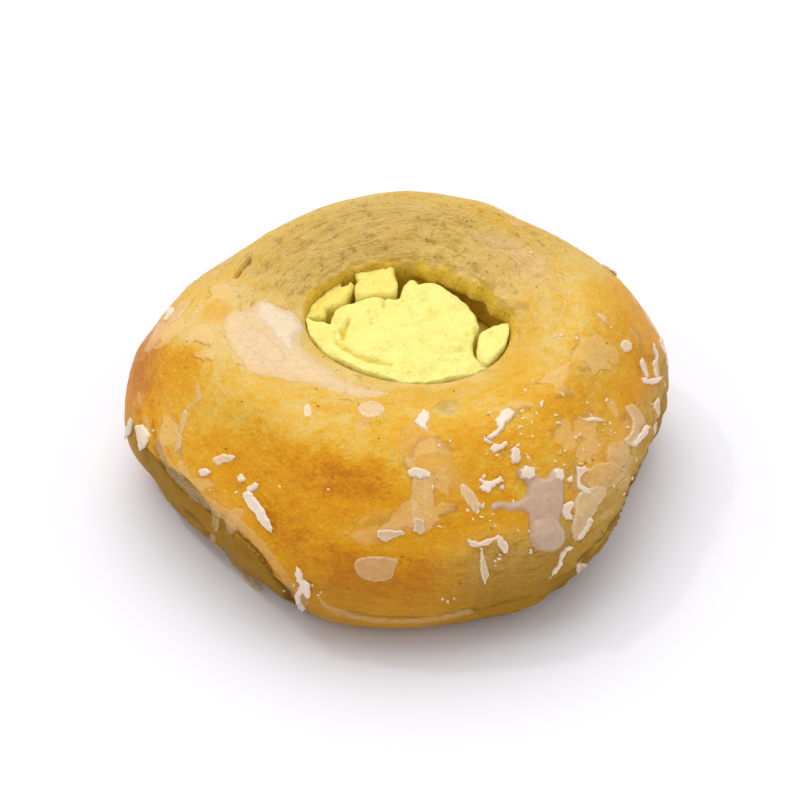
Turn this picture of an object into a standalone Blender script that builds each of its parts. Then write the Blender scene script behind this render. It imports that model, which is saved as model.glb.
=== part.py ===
# Custard danish: a round bun of laminated dough with a sunken middle filled with custard, thin white
# icing dried on it in flakes and drops. Metres, +Z up, origin under the middle of the bun's outline.
# The near side is -Y. Bearings run from +X towards +Y.
import math
import random

import bmesh
import bpy
import numpy as np
from mathutils import Matrix, Vector, noise

MM = 0.001

# The bun: its outline where it is widest, and its crown, the top of the ring
BELLY_RADIUS = 50.0 * MM
BELLY_CENTRE = (0.7 * MM, -0.2 * MM)
BELLY_LOBES = ((2, 0.4 * MM, 16), (3, 1.2 * MM, 47), (4, 1.2 * MM, 4), (5, 0.9 * MM, 23), (6, 0.6 * MM, 14))
CROWN_RADIUS = 33.5 * MM
CROWN_HEIGHT = 37.0 * MM
CROWN_TILT = 3.0 * MM
CROWN_HIGH_BEARING = 80
FOOT_INSET = 9.0 * MM

# The opening in the middle: an egg-shaped well with a soft lip, its wall drawn in towards the floor
WELL_CENTRE = (1.6 * MM, 2.9 * MM)
WELL_RADIUS = 18.4 * MM
WELL_OVAL = 1.5 * MM
WELL_LONG_BEARING = 155
WELL_FLOOR = 13.0 * MM
LIP_HEIGHT = 33.4 * MM
LIP_TILT = 0.6 * MM
WALL_IN_AT_FLOOR = 4.5 * MM
WALL_IN_ABOVE_FLOOR = 1.8 * MM
WALL_IN_AT_TOP = 0.5 * MM

# Slow unevenness of the baked dough
LUMP_SIZE = 13.0 * MM
LUMP_HEIGHT = 0.45 * MM

# Layers of dough that end in a ledge on the side: first and last bearing, height of the edge at each,
# bend of the edge between them, and how far the skin stands back under it
LEDGES = (
    (186, 253, 21.0 * MM, 9.5 * MM, 4.0, 3.0 * MM),
    (297, 362, 8.0 * MM, 21.0 * MM, 0.5, 2.2 * MM),
    (22, 80, 17.0 * MM, 11.0 * MM, 2.0, 1.8 * MM),
    (110, 170, 10.0 * MM, 18.0 * MM, 0.8, 2.0 * MM),
)
LEDGE_SOFT = 1.2 * MM
LEDGE_SWELL = 6.0 * MM
LEDGE_WAVE = 0.6 * MM

# Custard: a bed up to the shelf, a broken top over it, shrunk from the wall on the right
CUSTARD_GAP = 0.45 * MM
CUSTARD_TOP = 32.1 * MM
CUSTARD_DOME = 1.0 * MM
SHELF_HEIGHT = 25.5 * MM
SHELF_STEP = 0.2 * MM
FLOOR_ROUND = 2.6 * MM
EDGE_DROP = 0.9 * MM
BUMP_SIZE = 4.5 * MM
BUMP_HEIGHT = 0.5 * MM
CREVICE = 0.8 * MM
CRACK_DEPTH = 1.3 * MM
CRACK_WIDTH = 0.9 * MM
CRACK_PATH = ((-12.5 * MM, 1.6 * MM), (-11.4 * MM, -2.7 * MM), (-8.2 * MM, -6.3 * MM), (-1.6 * MM, -9.2 * MM))
DRAWN_BACK = 3.8 * MM
DRAWN_BEARING = 0
DRAWN_SPREAD = 82
MAIN_CENTRE = (1.0 * MM, 1.0 * MM)

LUMP_TAPER = 0.9

# Outlines in millimetres: centre, half length, half width, turn in degrees; then the height of the top
LUMPS = (
    ("custard_left", (-12.6, 12.4, 6.6, 3.4, 48), 31.6 * MM),
    ("custard_back", (-4.3, 15.6, 4.4, 4.1, -5), 32.3 * MM),
    ("custard_crumb", (17.1, -2.7, 3.1, 3.0, 0), 33.3 * MM),
)

# Icing flakes and drops: bearing, station of the skin, turn from downhill, length and width in millimetres
FLAKE_THICKNESS = 0.8 * MM
FLAKE_SUNK = 0.9 * MM
FLAKE_CORNERS = 7
DROP_HEIGHT = 1.5 * MM
FLAKES = (
    (277, 6.4, 10, 3.6, 1.8),
    (300, 6.95, -40, 6.5, 3.6),
    (299, 7.6, 0, 3.4, 2.4),
    (290, 8.0, -60, 5.0, 2.6),
    (290, 8.35, 90, 2.6, 2.0),
    (274, 7.5, 90, 4.0, 2.0),
    (286, 8.7, 80, 5.4, 2.0),
    (264, 9.1, 90, 7.0, 4.6),
    (338, 8.7, -20, 7.8, 4.6),
    (327, 8.8, 0, 5.2, 3.8),
    (319, 8.8, -60, 7.5, 5.5),
    (311, 9.1, -25, 9.0, 5.0),
    (357, 8.8, 90, 5.5, 2.0),
    (303, 9.9, -45, 6.5, 2.0),
    (238, 9.0, 50, 10.0, 2.2),
    (249, 10.0, 15, 8.5, 2.4),
    (231, 10.8, 60, 8.0, 4.0),
    (197, 9.1, -10, 5.0, 2.2),
)
FAR_FLAKES = 9
FAR_BEARINGS = (15, 175)
FAR_STATIONS = (8.0, 9.7)
DROPS = (
    (300, 7.95, 0, 3.8, 3.6),
    (307, 8.15, 0, 3.2, 3.0),
    (302, 8.45, 0, 10.5, 8.0),
    (300, 8.95, 0, 6.5, 7.0),
)

# Fineness of the meshes: sides round a body, rings between stations or across a top
BUN_SIDES = 96
RINGS_IN_STRETCH = (1, 1, 1, 1, 2, 2, 3, 4, 5, 4, 3, 2, 1, 1)
MAIN_SIDES = 64
MAIN_STEPS = 10
LUMP_SIDES = 24
LUMP_STEPS = 5
REACH_STEP = 0.05 * MM


def clear_scene():
    for item in list(bpy.data.objects):
        bpy.data.objects.remove(item, do_unlink=True)


def finish_material(name, colour, roughness):
    """A plain finish of one colour, not metallic."""
    finish = bpy.data.materials.new(name)
    finish.use_nodes = True
    shader = finish.node_tree.nodes["Principled BSDF"]
    shader.inputs["Base Color"].default_value = (*colour, 1.0)
    shader.inputs["Roughness"].default_value = roughness
    shader.inputs["Metallic"].default_value = 0.0
    return finish


def smooth_step(value):
    value = np.clip(value, 0.0, 1.0)
    return value * value * (3.0 - 2.0 * value)


def well_radius(bearing):
    return WELL_RADIUS + WELL_OVAL * np.cos(2.0 * (bearing - math.radians(WELL_LONG_BEARING)))


def belly_radius(bearing):
    radius = BELLY_RADIUS + np.zeros_like(bearing)
    for count, swell, crest in BELLY_LOBES:
        radius = radius + swell * np.cos(count * (bearing - math.radians(crest)))
    return radius


def half_section(bearing):
    """Radius and height of the stations of the skin, from the well's floor out and down to the foot."""
    well = well_radius(bearing)
    belly = belly_radius(bearing)
    lip = LIP_HEIGHT + LIP_TILT * np.sin(bearing)
    crown = CROWN_HEIGHT + CROWN_TILT * np.cos(bearing - math.radians(CROWN_HIGH_BEARING))
    none = np.zeros_like(bearing)
    stations = (
        (none, none + WELL_FLOOR),
        (well - WALL_IN_AT_FLOOR, none + WELL_FLOOR),
        (well - WALL_IN_ABOVE_FLOOR, none + WELL_FLOOR + 2.4 * MM),
        (well - WALL_IN_AT_TOP, lip - 6.0 * MM),
        (well - 0.2 * MM, lip - 1.2 * MM),
        (well + 1.5 * MM, lip + 0.1 * MM),
        (0.5 * (well + CROWN_RADIUS), 0.45 * lip + 0.55 * crown),
        (none + CROWN_RADIUS, crown),
        (belly - 9.0 * MM, crown - 5.0 * MM),
        (belly - 1.5 * MM, 0.60 * crown),
        (belly, 0.38 * crown),
        (belly - 1.6 * MM, 0.16 * crown),
        (belly - 5.5 * MM, none + 1.2 * MM),
        (belly - FOOT_INSET, none),
        (none, none),
    )
    return np.stack([r for r, _ in stations]), np.stack([z for _, z in stations])


def smooth_curve(values, steps, way):
    """Read a curve through the stations at way, a station number with a fraction."""
    last = len(values) - 1
    ends = np.concatenate(([2 * values[0] - values[1]], values, [2 * values[-1] - values[-2]]))
    at = np.clip(np.floor(way).astype(int), 0, last - 1)
    part = way - at
    column = np.arange(len(way))
    before, here, there, after = (ends[at + shift, column] for shift in range(4))
    d_before, d_here, d_after = (steps[at + shift, column] for shift in range(3))
    slope_here = (there - here) + d_here * ((here - before) / d_before - (there - before) / (d_before + d_here))
    slope_there = (there - here) + d_here * ((after - there) / d_after - (after - here) / (d_here + d_after))
    square, cube = part * part, part * part * part
    return ((2 * cube - 3 * square + 1) * here + (cube - 2 * square + part) * slope_here
            + (3 * square - 2 * cube) * there + (cube - square) * slope_there)


def ledge_relief(bearing, height):
    """How far the skin stands out or back at the ledges, by bearing and height on the side."""
    relief = np.zeros_like(bearing)
    for start, end, start_height, end_height, bend, depth in LEDGES:
        along = ((np.degrees(bearing) - start) % 360.0) / (end - start)
        inside = smooth_step(along / 0.14) * smooth_step((1.0 - along) / 0.14) * (along < 1.0)
        edge = start_height + (end_height - start_height) * along ** bend + LEDGE_WAVE * np.sin(17.0 * along)
        under = smooth_step((edge - height) / LEDGE_SOFT)
        over = smooth_step(1.0 - (height - edge) / LEDGE_SWELL) * (1.0 - under)
        foot = smooth_step(height / (5.0 * MM))
        relief = relief + inside * depth * foot * (0.45 * over - 0.55 * under)
    return relief


def bun_points(bearing, way):
    """Points of the bun's skin: bearing round it in radians, way along its half section."""
    radii, heights = half_section(bearing)
    ends_r = np.concatenate(([2 * radii[0] - radii[1]], radii, [2 * radii[-1] - radii[-2]]))
    ends_z = np.concatenate(([2 * heights[0] - heights[1]], heights, [2 * heights[-1] - heights[-2]]))
    steps = np.hypot(np.diff(ends_r, axis=0), np.diff(ends_z, axis=0)) ** 0.5
    radius = np.maximum(smooth_curve(radii, steps, way), 0.0)
    height = np.maximum(smooth_curve(heights, steps, way), 0.0)
    outside = smooth_step((way - 7.0) / 1.5)
    radius = radius + outside * ledge_relief(bearing, height)
    lean = smooth_step((way - 4.0) / 4.0)
    x = WELL_CENTRE[0] + (BELLY_CENTRE[0] - WELL_CENTRE[0]) * lean + radius * np.cos(bearing)
    y = WELL_CENTRE[1] + (BELLY_CENTRE[1] - WELL_CENTRE[1]) * lean + radius * np.sin(bearing)
    skin = smooth_step((way - 5.0) / 1.0) * smooth_step((12.0 - way) / 1.5)
    lumps = np.array([noise.noise(Vector(p) / LUMP_SIZE) for p in zip(x, y, height)])
    height = height + skin * LUMP_HEIGHT * lumps * smooth_step((height - 8 * MM) / (12 * MM))
    radius_lump = skin * LUMP_HEIGHT * lumps * smooth_step((way - 8.0) / 1.5)
    return np.stack((x + radius_lump * np.cos(bearing), y + radius_lump * np.sin(bearing), height), axis=-1)


def closed_mesh(name, rings, finish):
    """A body from closed rings of points, its first and last ring drawn to a point."""
    shape = bmesh.new()
    layers = [[shape.verts.new(p) for p in ring] for ring in rings[1:-1]]
    for upper, lower in zip(layers, layers[1:]):
        for i in range(len(upper)):
            j = (i + 1) % len(upper)
            shape.faces.new((upper[i], upper[j], lower[j], lower[i]))
    for ring, layer in ((rings[0], layers[0]), (rings[-1], layers[-1])):
        pole = shape.verts.new(np.mean(ring, axis=0))
        for i in range(len(layer)):
            shape.faces.new((pole, layer[i], layer[(i + 1) % len(layer)]))
    bmesh.ops.recalc_face_normals(shape, faces=shape.faces)
    bmesh.ops.triangulate(shape, faces=shape.faces)
    mesh = bpy.data.meshes.new(name)
    shape.to_mesh(mesh)
    shape.free()
    mesh.materials.append(finish)
    mesh.shade_smooth()
    body = bpy.data.objects.new(name, mesh)
    bpy.context.collection.objects.link(body)
    return body


def make_bun(finish):
    bearings = np.linspace(0.0, 2.0 * math.pi, BUN_SIDES, endpoint=False)
    ways = [0.0]
    for stretch, count in enumerate(RINGS_IN_STRETCH):
        ways += [stretch + (k + 1) / count for k in range(count)]
    rings = [bun_points(bearings, np.full(BUN_SIDES, way)) for way in ways]
    return closed_mesh("bun", rings, finish)


def skin_frame(bearing, way):
    """Where a point of the skin lies, its outward normal, and the direction down the side."""
    reach = 0.02
    angles = np.array([bearing, bearing + reach, bearing - reach, bearing, bearing])
    ways = np.array([way, way, way, way + reach, way - reach])
    place, left, right, lower, upper = (Vector(p) for p in bun_points(angles, ways))
    down = (lower - upper).normalized()
    normal = (left - right).cross(upper - lower).normalized()
    return place, normal, down


def lying(bearing, way, turn):
    """A frame on the skin: X down the side turned by an angle, Z out of the skin."""
    place, normal, down = skin_frame(math.radians(bearing), way)
    along = Matrix.Rotation(math.radians(turn), 3, normal) @ down
    across = normal.cross(along)
    frame = Matrix((along, across, normal)).transposed().to_4x4()
    frame.translation = place
    return frame


def add_flake(shape, frame, length, width, draw):
    """A broken flake of icing, flat, with a ragged outline."""
    corners = []
    for k in range(FLAKE_CORNERS):
        angle = 2.0 * math.pi * (k + draw.uniform(-0.25, 0.25)) / FLAKE_CORNERS
        spread = draw.uniform(0.75, 1.15)
        corners.append((0.5 * length * spread * math.cos(angle), 0.5 * width * spread * math.sin(angle)))
    levels = (-FLAKE_SUNK, FLAKE_THICKNESS)
    rings = [[shape.verts.new(frame @ Vector((x, y, level))) for x, y in corners] for level in levels]
    shape.faces.new(rings[1])
    shape.faces.new(rings[0][::-1])
    for k in range(FLAKE_CORNERS):
        j = (k + 1) % FLAKE_CORNERS
        shape.faces.new((rings[0][k], rings[0][j], rings[1][j], rings[1][k]))


def make_icing(finish):
    """The flakes and thick drops of icing that show from a step away, each its own object for now."""
    draw = random.Random(7)
    pieces = bpy.data.collections.new("icing")
    bpy.context.scene.collection.children.link(pieces)
    far = [(draw.uniform(*FAR_BEARINGS), draw.uniform(*FAR_STATIONS), draw.uniform(0, 180),
            draw.uniform(3.0, 6.5), draw.uniform(1.8, 3.6)) for _ in range(FAR_FLAKES)]
    for bearing, way, turn, length, width in list(FLAKES) + far:
        shape = bmesh.new()
        add_flake(shape, lying(bearing, way, turn), length * MM, width * MM, draw)
        link_piece(shape, pieces, finish)
    for bearing, way, turn, length, width in DROPS:
        shape = bmesh.new()
        bmesh.ops.create_icosphere(shape, subdivisions=2, radius=1.0)
        size = Matrix.Diagonal((0.5 * length * MM, 0.5 * width * MM, DROP_HEIGHT, 1.0))
        bmesh.ops.transform(shape, matrix=lying(bearing, way, turn) @ size, verts=shape.verts)
        link_piece(shape, pieces, finish)
    return pieces


def link_piece(shape, pieces, finish):
    bmesh.ops.recalc_face_normals(shape, faces=shape.faces)
    mesh = bpy.data.meshes.new("piece")
    shape.to_mesh(mesh)
    shape.free()
    mesh.materials.append(finish)
    pieces.objects.link(bpy.data.objects.new("piece", mesh))


def fuse(body, pieces):
    """Join the icing to the bun in one union and remove the loose pieces."""
    union = body.modifiers.new("icing", "BOOLEAN")
    union.operation = "UNION"
    union.solver = "EXACT"
    union.operand_type = "COLLECTION"
    union.collection = pieces
    bpy.context.view_layer.update()
    joined = bpy.data.meshes.new_from_object(body.evaluated_get(bpy.context.evaluated_depsgraph_get()))
    body.modifiers.remove(union)
    body.data = joined
    for piece in list(pieces.objects):
        bpy.data.objects.remove(piece, do_unlink=True)
    bpy.data.collections.remove(pieces)


def inside_outline(x, y, outline, margin):
    """Whether a point lies within a lump's rounded outline widened by a margin."""
    centre_x, centre_y, half_length, half_width, turn = outline
    cosine, sine = math.cos(math.radians(turn)), math.sin(math.radians(turn))
    along = (x - centre_x * MM) * cosine + (y - centre_y * MM) * sine
    across = (y - centre_y * MM) * cosine - (x - centre_x * MM) * sine
    return abs(along / (half_length * MM + margin)) ** 3 + abs(across / (half_width * MM + margin)) ** 3 < 1.0


def inside_well(x, y, margin):
    """Whether a point lies within the well's wall drawn in by a margin."""
    out_x, out_y = x - WELL_CENTRE[0], y - WELL_CENTRE[1]
    return math.hypot(out_x, out_y) < well_radius(math.atan2(out_y, out_x)) - margin


def drawn_back(x, y):
    """How far the top of the custard shrank from the wall, most on the right."""
    bearing = math.degrees(math.atan2(y - WELL_CENTRE[1], x - WELL_CENTRE[0]))
    apart = abs((bearing - DRAWN_BEARING + 180.0) % 360.0 - 180.0)
    return DRAWN_BACK * smooth_step(1.25 * (1.0 - apart / DRAWN_SPREAD))


def reach_where(free, centre, angle, farthest):
    """How far one can go from a centre in one direction while the place stays free."""
    reach = 0.0
    while reach < farthest and free(centre[0] + (reach + REACH_STEP) * math.cos(angle),
                                    centre[1] + (reach + REACH_STEP) * math.sin(angle)):
        reach += REACH_STEP
    return reach


def crack_depth(x, y):
    """Depth of the crack that parts the strip along the near rim from the rest."""
    nearest = 1.0
    for (x0, y0), (x1, y1) in zip(CRACK_PATH, CRACK_PATH[1:]):
        run_x, run_y = x1 - x0, y1 - y0
        part = min(max(((x - x0) * run_x + (y - y0) * run_y) / (run_x ** 2 + run_y ** 2), 0.0), 1.0)
        nearest = min(nearest, math.hypot(x - x0 - part * run_x, y - y0 - part * run_y))
    return CRACK_DEPTH * max(0.0, 1.0 - nearest / CRACK_WIDTH)


def reaches(free, wall, centre, sides):
    """The free reach in each direction round a centre, with a gap to a wall drawn in by the given length."""
    angles = [2.0 * math.pi * k / sides for k in range(sides)]
    margin = wall + CUSTARD_GAP
    return [reach_where(lambda x, y: free(x, y, margin), centre, angle, 2 * WELL_RADIUS) for angle in angles]


def ring_at(centre, outline, height):
    """A level ring round a centre with its own reach in each direction."""
    turn = 2.0 * math.pi / len(outline)
    return [(centre[0] + reach * math.cos(k * turn), centre[1] + reach * math.sin(k * turn), height)
            for k, reach in enumerate(outline)]


def top_rings(centre, outline, top, steps):
    """Rings of the domed, uneven top, from a rounded edge in to the middle."""
    rings = []
    for step in range(steps + 1):
        part = 1.0 - (step / steps) ** 1.3
        ring = []
        for x, y, _ in ring_at(centre, [part * reach for reach in outline], top):
            dome = CUSTARD_DOME * max(outline) / WELL_RADIUS * (1.0 - part * part)
            bump = BUMP_HEIGHT * noise.noise(Vector((x, y, top)) / BUMP_SIZE)
            edge = EDGE_DROP * (1.0 - smooth_step(step / 2.0))
            ring.append((x, y, top + dome + bump - edge - crack_depth(x, y)))
        rings.append(ring)
    return rings


def make_custards(finish):
    """The custard as it broke when baked: a bed with a broken top, and three loose lumps at its edge."""
    def free_of_lumps(x, y, margin):
        clear = inside_well(x, y, margin + drawn_back(x, y))
        return clear and not any(inside_outline(x, y, outline, CREVICE) for _, outline, _ in LUMPS)

    floor = WELL_FLOOR + CUSTARD_GAP
    low = reaches(inside_well, WALL_IN_AT_FLOOR, MAIN_CENTRE, MAIN_SIDES)
    wide = reaches(inside_well, WALL_IN_ABOVE_FLOOR, MAIN_CENTRE, MAIN_SIDES)
    shelf = reaches(inside_well, WALL_IN_AT_TOP, MAIN_CENTRE, MAIN_SIDES)
    broken = reaches(free_of_lumps, WALL_IN_AT_TOP, MAIN_CENTRE, MAIN_SIDES)
    broken = [min(above, below - SHELF_STEP) for above, below in zip(broken, shelf)]
    rings = [ring_at(MAIN_CENTRE, [0.0] * MAIN_SIDES, floor), ring_at(MAIN_CENTRE, low, floor),
             ring_at(MAIN_CENTRE, wide, floor + FLOOR_ROUND), ring_at(MAIN_CENTRE, shelf, SHELF_HEIGHT),
             ring_at(MAIN_CENTRE, broken, SHELF_HEIGHT + SHELF_STEP)]
    closed_mesh("custard", rings + top_rings(MAIN_CENTRE, broken, CUSTARD_TOP, MAIN_STEPS), finish)

    for place, (name, outline, top) in enumerate(LUMPS):
        others = [other for _, other, _ in LUMPS[place + 1:]]

        def free_in_lump(x, y, margin):
            clear = inside_well(x, y, margin) and inside_outline(x, y, outline, 0.0)
            return clear and not any(inside_outline(x, y, other, CREVICE) for other in others)

        centre = (outline[0] * MM, outline[1] * MM)
        edge = reaches(free_in_lump, WALL_IN_AT_TOP, centre, LUMP_SIDES)
        foot = SHELF_HEIGHT + SHELF_STEP + CUSTARD_GAP
        base = [LUMP_TAPER * reach for reach in edge]
        rings = [ring_at(centre, [0.0] * LUMP_SIDES, foot), ring_at(centre, base, foot)]
        closed_mesh(name, rings + top_rings(centre, edge, top, LUMP_STEPS), finish)


def main():
    clear_scene()
    crust = finish_material("golden crust", (0.62, 0.33, 0.06), 0.45)
    icing = finish_material("dried icing", (0.80, 0.70, 0.58), 0.35)
    custard = finish_material("baked custard", (0.95, 0.83, 0.32), 0.5)
    bun = make_bun(crust)
    fuse(bun, make_icing(icing))
    make_custards(custard)


main()
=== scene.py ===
import math
import random
from itertools import product

import bmesh
import bpy
import numpy as np
from mathutils import Matrix, Vector, geometry, noise
from mathutils.bvhtree import BVHTree


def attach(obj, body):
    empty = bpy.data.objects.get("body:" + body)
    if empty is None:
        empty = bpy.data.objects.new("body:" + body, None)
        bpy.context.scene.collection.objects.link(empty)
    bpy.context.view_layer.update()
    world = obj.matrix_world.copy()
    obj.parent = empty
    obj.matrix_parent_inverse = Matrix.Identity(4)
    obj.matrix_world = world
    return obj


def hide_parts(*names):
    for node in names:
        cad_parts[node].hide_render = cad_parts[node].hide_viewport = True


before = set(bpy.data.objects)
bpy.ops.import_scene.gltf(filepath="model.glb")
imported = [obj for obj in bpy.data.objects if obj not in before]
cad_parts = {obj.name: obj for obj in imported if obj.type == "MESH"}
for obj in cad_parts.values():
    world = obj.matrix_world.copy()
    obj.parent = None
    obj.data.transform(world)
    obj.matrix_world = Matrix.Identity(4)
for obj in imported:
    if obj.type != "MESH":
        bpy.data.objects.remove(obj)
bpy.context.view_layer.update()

MM = 0.001

# The view: a camera 380 mm away that looks 40 degrees down on the bun. Some places below are read from
# its picture, 800 pixels wide and high, and are then cast onto the bun that carries them.
PICTURE = 800
EYE_ELEVATION = math.radians(40.0)
EYE_DISTANCE = 380.0 * MM
LENS = 89.3
SENSOR = 36.0
FOCAL = LENS / SENSOR * PICTURE
AIM = np.array((0.25, 0.84, 15.2)) * MM
EYE_BACK = np.array((0.0, -math.cos(EYE_ELEVATION), math.sin(EYE_ELEVATION)))
EYE_RIGHT = np.array((1.0, 0.0, 0.0))
EYE_UP = np.cross(EYE_BACK, EYE_RIGHT)
EYE = AIM + EYE_DISTANCE * EYE_BACK

camera = bpy.data.objects.new("studio_camera", bpy.data.cameras.new("studio_camera"))
bpy.context.scene.collection.objects.link(camera)
camera.data.lens = LENS
camera.data.sensor_width = SENSOR
camera.data.clip_start = 10 * MM
camera.location = EYE
camera.rotation_euler = Vector(-EYE_BACK).to_track_quat("-Z", "Y").to_euler()
bpy.context.scene.camera = camera


def pixels_of(points):
    """Where points show in the picture."""
    away = np.asarray(points) - EYE
    depth = -(away @ EYE_BACK)
    across = PICTURE / 2 + FOCAL * (away @ EYE_RIGHT) / depth
    return np.stack((across, PICTURE / 2 - FOCAL * (away @ EYE_UP) / depth), axis=-1)


def sight_lines(pixels):
    """The directions in which the camera sees pixels."""
    offsets = (np.asarray(pixels, float) - PICTURE / 2) / FOCAL
    lines = offsets[:, :1] * EYE_RIGHT - offsets[:, 1:] * EYE_UP - EYE_BACK
    return lines / np.linalg.norm(lines, axis=1, keepdims=True)


# The bun: laminated dough rolled into a thick disc, pressed down in the middle, proved and baked golden.
# Its skin follows one half section that changes round the bun, the same as the solid that it stands for.
BELLY_RADIUS = 50.0 * MM
BELLY_CENTRE = (0.7 * MM, -0.2 * MM)
BELLY_LOBES = ((2, 0.4 * MM, 16), (3, 1.2 * MM, 47), (4, 1.2 * MM, 4), (5, 0.9 * MM, 23), (6, 0.6 * MM, 14))
CROWN_RADIUS = 33.5 * MM
CROWN_HEIGHT = 37.0 * MM
CROWN_TILT = 3.0 * MM
CROWN_HIGH_BEARING = 80
FOOT_INSET = 9.0 * MM
WELL_CENTRE = (1.6 * MM, 2.9 * MM)
WELL_RADIUS = 18.4 * MM
WELL_OVAL = 1.5 * MM
WELL_LONG_BEARING = 155
WELL_FLOOR = 13.0 * MM
LIP_HEIGHT = 33.4 * MM
LIP_TILT = 0.6 * MM
WALL_IN_AT_FLOOR = 4.5 * MM
WALL_IN_ABOVE_FLOOR = 1.8 * MM
WALL_IN_AT_TOP = 0.5 * MM
LUMP_SIZE = 13.0 * MM
LUMP_HEIGHT = 0.45 * MM
# Ledges where a layer of dough ends: from and to in degrees, height there and there, bend, depth
LEDGES = (
    (186, 253, 21.0 * MM, 9.5 * MM, 4.0, 3.0 * MM),
    (297, 362, 8.0 * MM, 21.0 * MM, 0.5, 2.2 * MM),
    (22, 80, 17.0 * MM, 11.0 * MM, 2.0, 1.8 * MM),
    (110, 170, 10.0 * MM, 18.0 * MM, 0.8, 2.0 * MM),
)
LEDGE_SOFT = 0.9 * MM
LEDGE_SWELL = 6.0 * MM
LEDGE_WAVE = 0.6 * MM
LEDGE_WAVES = 17.0
SKIN_COLUMNS = 540
# Rows of the skin's grid between each two stations
SKIN_ROWS = (1, 3, 10, 16, 9, 18, 18, 20, 28, 18, 18, 12, 7, 2)


def smooth_step(value):
    value = np.clip(value, 0.0, 1.0)
    return value * value * (3.0 - 2.0 * value)


def grain(points, size, seed=0):
    """Smooth random values from -1 to 1 through space, with swells of the given size."""
    cells = np.asarray(points, float) / size
    low = np.floor(cells).astype(np.int64)
    part = smooth_step(cells - low)
    total = np.zeros(len(cells))
    for corner in product((0, 1), repeat=3):
        key = (low + corner) * (73856093, 19349663, 83492791)
        mixed = (key[:, 0] ^ key[:, 1] ^ key[:, 2]) + seed * 2654435761
        mixed = (mixed ^ (mixed >> 15)) * 2246822519
        mixed = (mixed ^ (mixed >> 13)) & 0xFFFF
        weight = np.prod(np.where(corner, part, 1.0 - part), axis=1)
        total += weight * (mixed / 32767.5 - 1.0)
    return total


def well_radius(bearing):
    return WELL_RADIUS + WELL_OVAL * np.cos(2.0 * (bearing - math.radians(WELL_LONG_BEARING)))


def half_section(bearing):
    """Radius and height of the stations of the skin, from the well's floor out and down to the foot."""
    well = well_radius(bearing)
    belly = BELLY_RADIUS + sum(swell * np.cos(count * (bearing - math.radians(crest)))
                               for count, swell, crest in BELLY_LOBES)
    lip = LIP_HEIGHT + LIP_TILT * np.sin(bearing)
    crown = CROWN_HEIGHT + CROWN_TILT * np.cos(bearing - math.radians(CROWN_HIGH_BEARING))
    none = np.zeros_like(bearing)
    stations = (
        (none, none + WELL_FLOOR),
        (well - WALL_IN_AT_FLOOR, none + WELL_FLOOR),
        (well - WALL_IN_ABOVE_FLOOR, none + WELL_FLOOR + 2.4 * MM),
        (well - WALL_IN_AT_TOP, lip - 6.0 * MM),
        (well - 0.2 * MM, lip - 1.2 * MM),
        (well + 1.5 * MM, lip + 0.1 * MM),
        (0.5 * (well + CROWN_RADIUS), 0.45 * lip + 0.55 * crown),
        (none + CROWN_RADIUS, crown),
        (belly - 9.0 * MM, crown - 5.0 * MM),
        (belly - 1.5 * MM, 0.60 * crown),
        (belly, 0.38 * crown),
        (belly - 1.6 * MM, 0.16 * crown),
        (belly - 5.5 * MM, none + 1.2 * MM),
        (belly - FOOT_INSET, none),
        (none, none),
    )
    return np.stack([r for r, _ in stations]), np.stack([z for _, z in stations])


def past_ends(values):
    """The stations with one more before the first and after the last, in line with them."""
    return np.concatenate(([2 * values[0] - values[1]], values, [2 * values[-1] - values[-2]]))


def smooth_curve(values, steps, way):
    """Read a curve through the stations at way, a station number with a fraction."""
    last = len(values) - 1
    ends = past_ends(values)
    at = np.clip(np.floor(way).astype(int), 0, last - 1)
    part = way - at
    column = np.arange(len(way))
    before, here, there, after = (ends[at + shift, column] for shift in range(4))
    d_before, d_here, d_after = (steps[at + shift, column] for shift in range(3))
    bend_here = (here - before) / d_before - (there - before) / (d_before + d_here)
    bend_there = (after - there) / d_after - (after - here) / (d_here + d_after)
    slope_here = (there - here) + d_here * bend_here
    slope_there = (there - here) + d_here * bend_there
    square, cube = part * part, part * part * part
    return ((2 * cube - 3 * square + 1) * here + (cube - 2 * square + part) * slope_here
            + (3 * square - 2 * cube) * there + (cube - square) * slope_there)


def ledge_relief(bearing, height):
    """How far the skin stands out or back where a layer of dough ends in a ledge, and how far under one."""
    relief = np.zeros_like(bearing)
    shaded = np.zeros_like(bearing)
    for start, end, start_height, end_height, bend, depth in LEDGES:
        along = ((np.degrees(bearing) - start) % 360.0) / (end - start)
        inside = smooth_step(along / 0.14) * smooth_step((1.0 - along) / 0.14) * (along < 1.0)
        edge = start_height + (end_height - start_height) * along ** bend
        edge = edge + LEDGE_WAVE * np.sin(LEDGE_WAVES * along)
        under = smooth_step((edge - height) / LEDGE_SOFT)
        over = smooth_step(1.0 - (height - edge) / LEDGE_SWELL) * (1.0 - under)
        foot = smooth_step(height / (5.0 * MM))
        relief = relief + inside * depth * foot * (0.45 * over - 0.55 * under)
        shaded = np.maximum(shaded, inside * under)
    return relief, shaded


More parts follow.
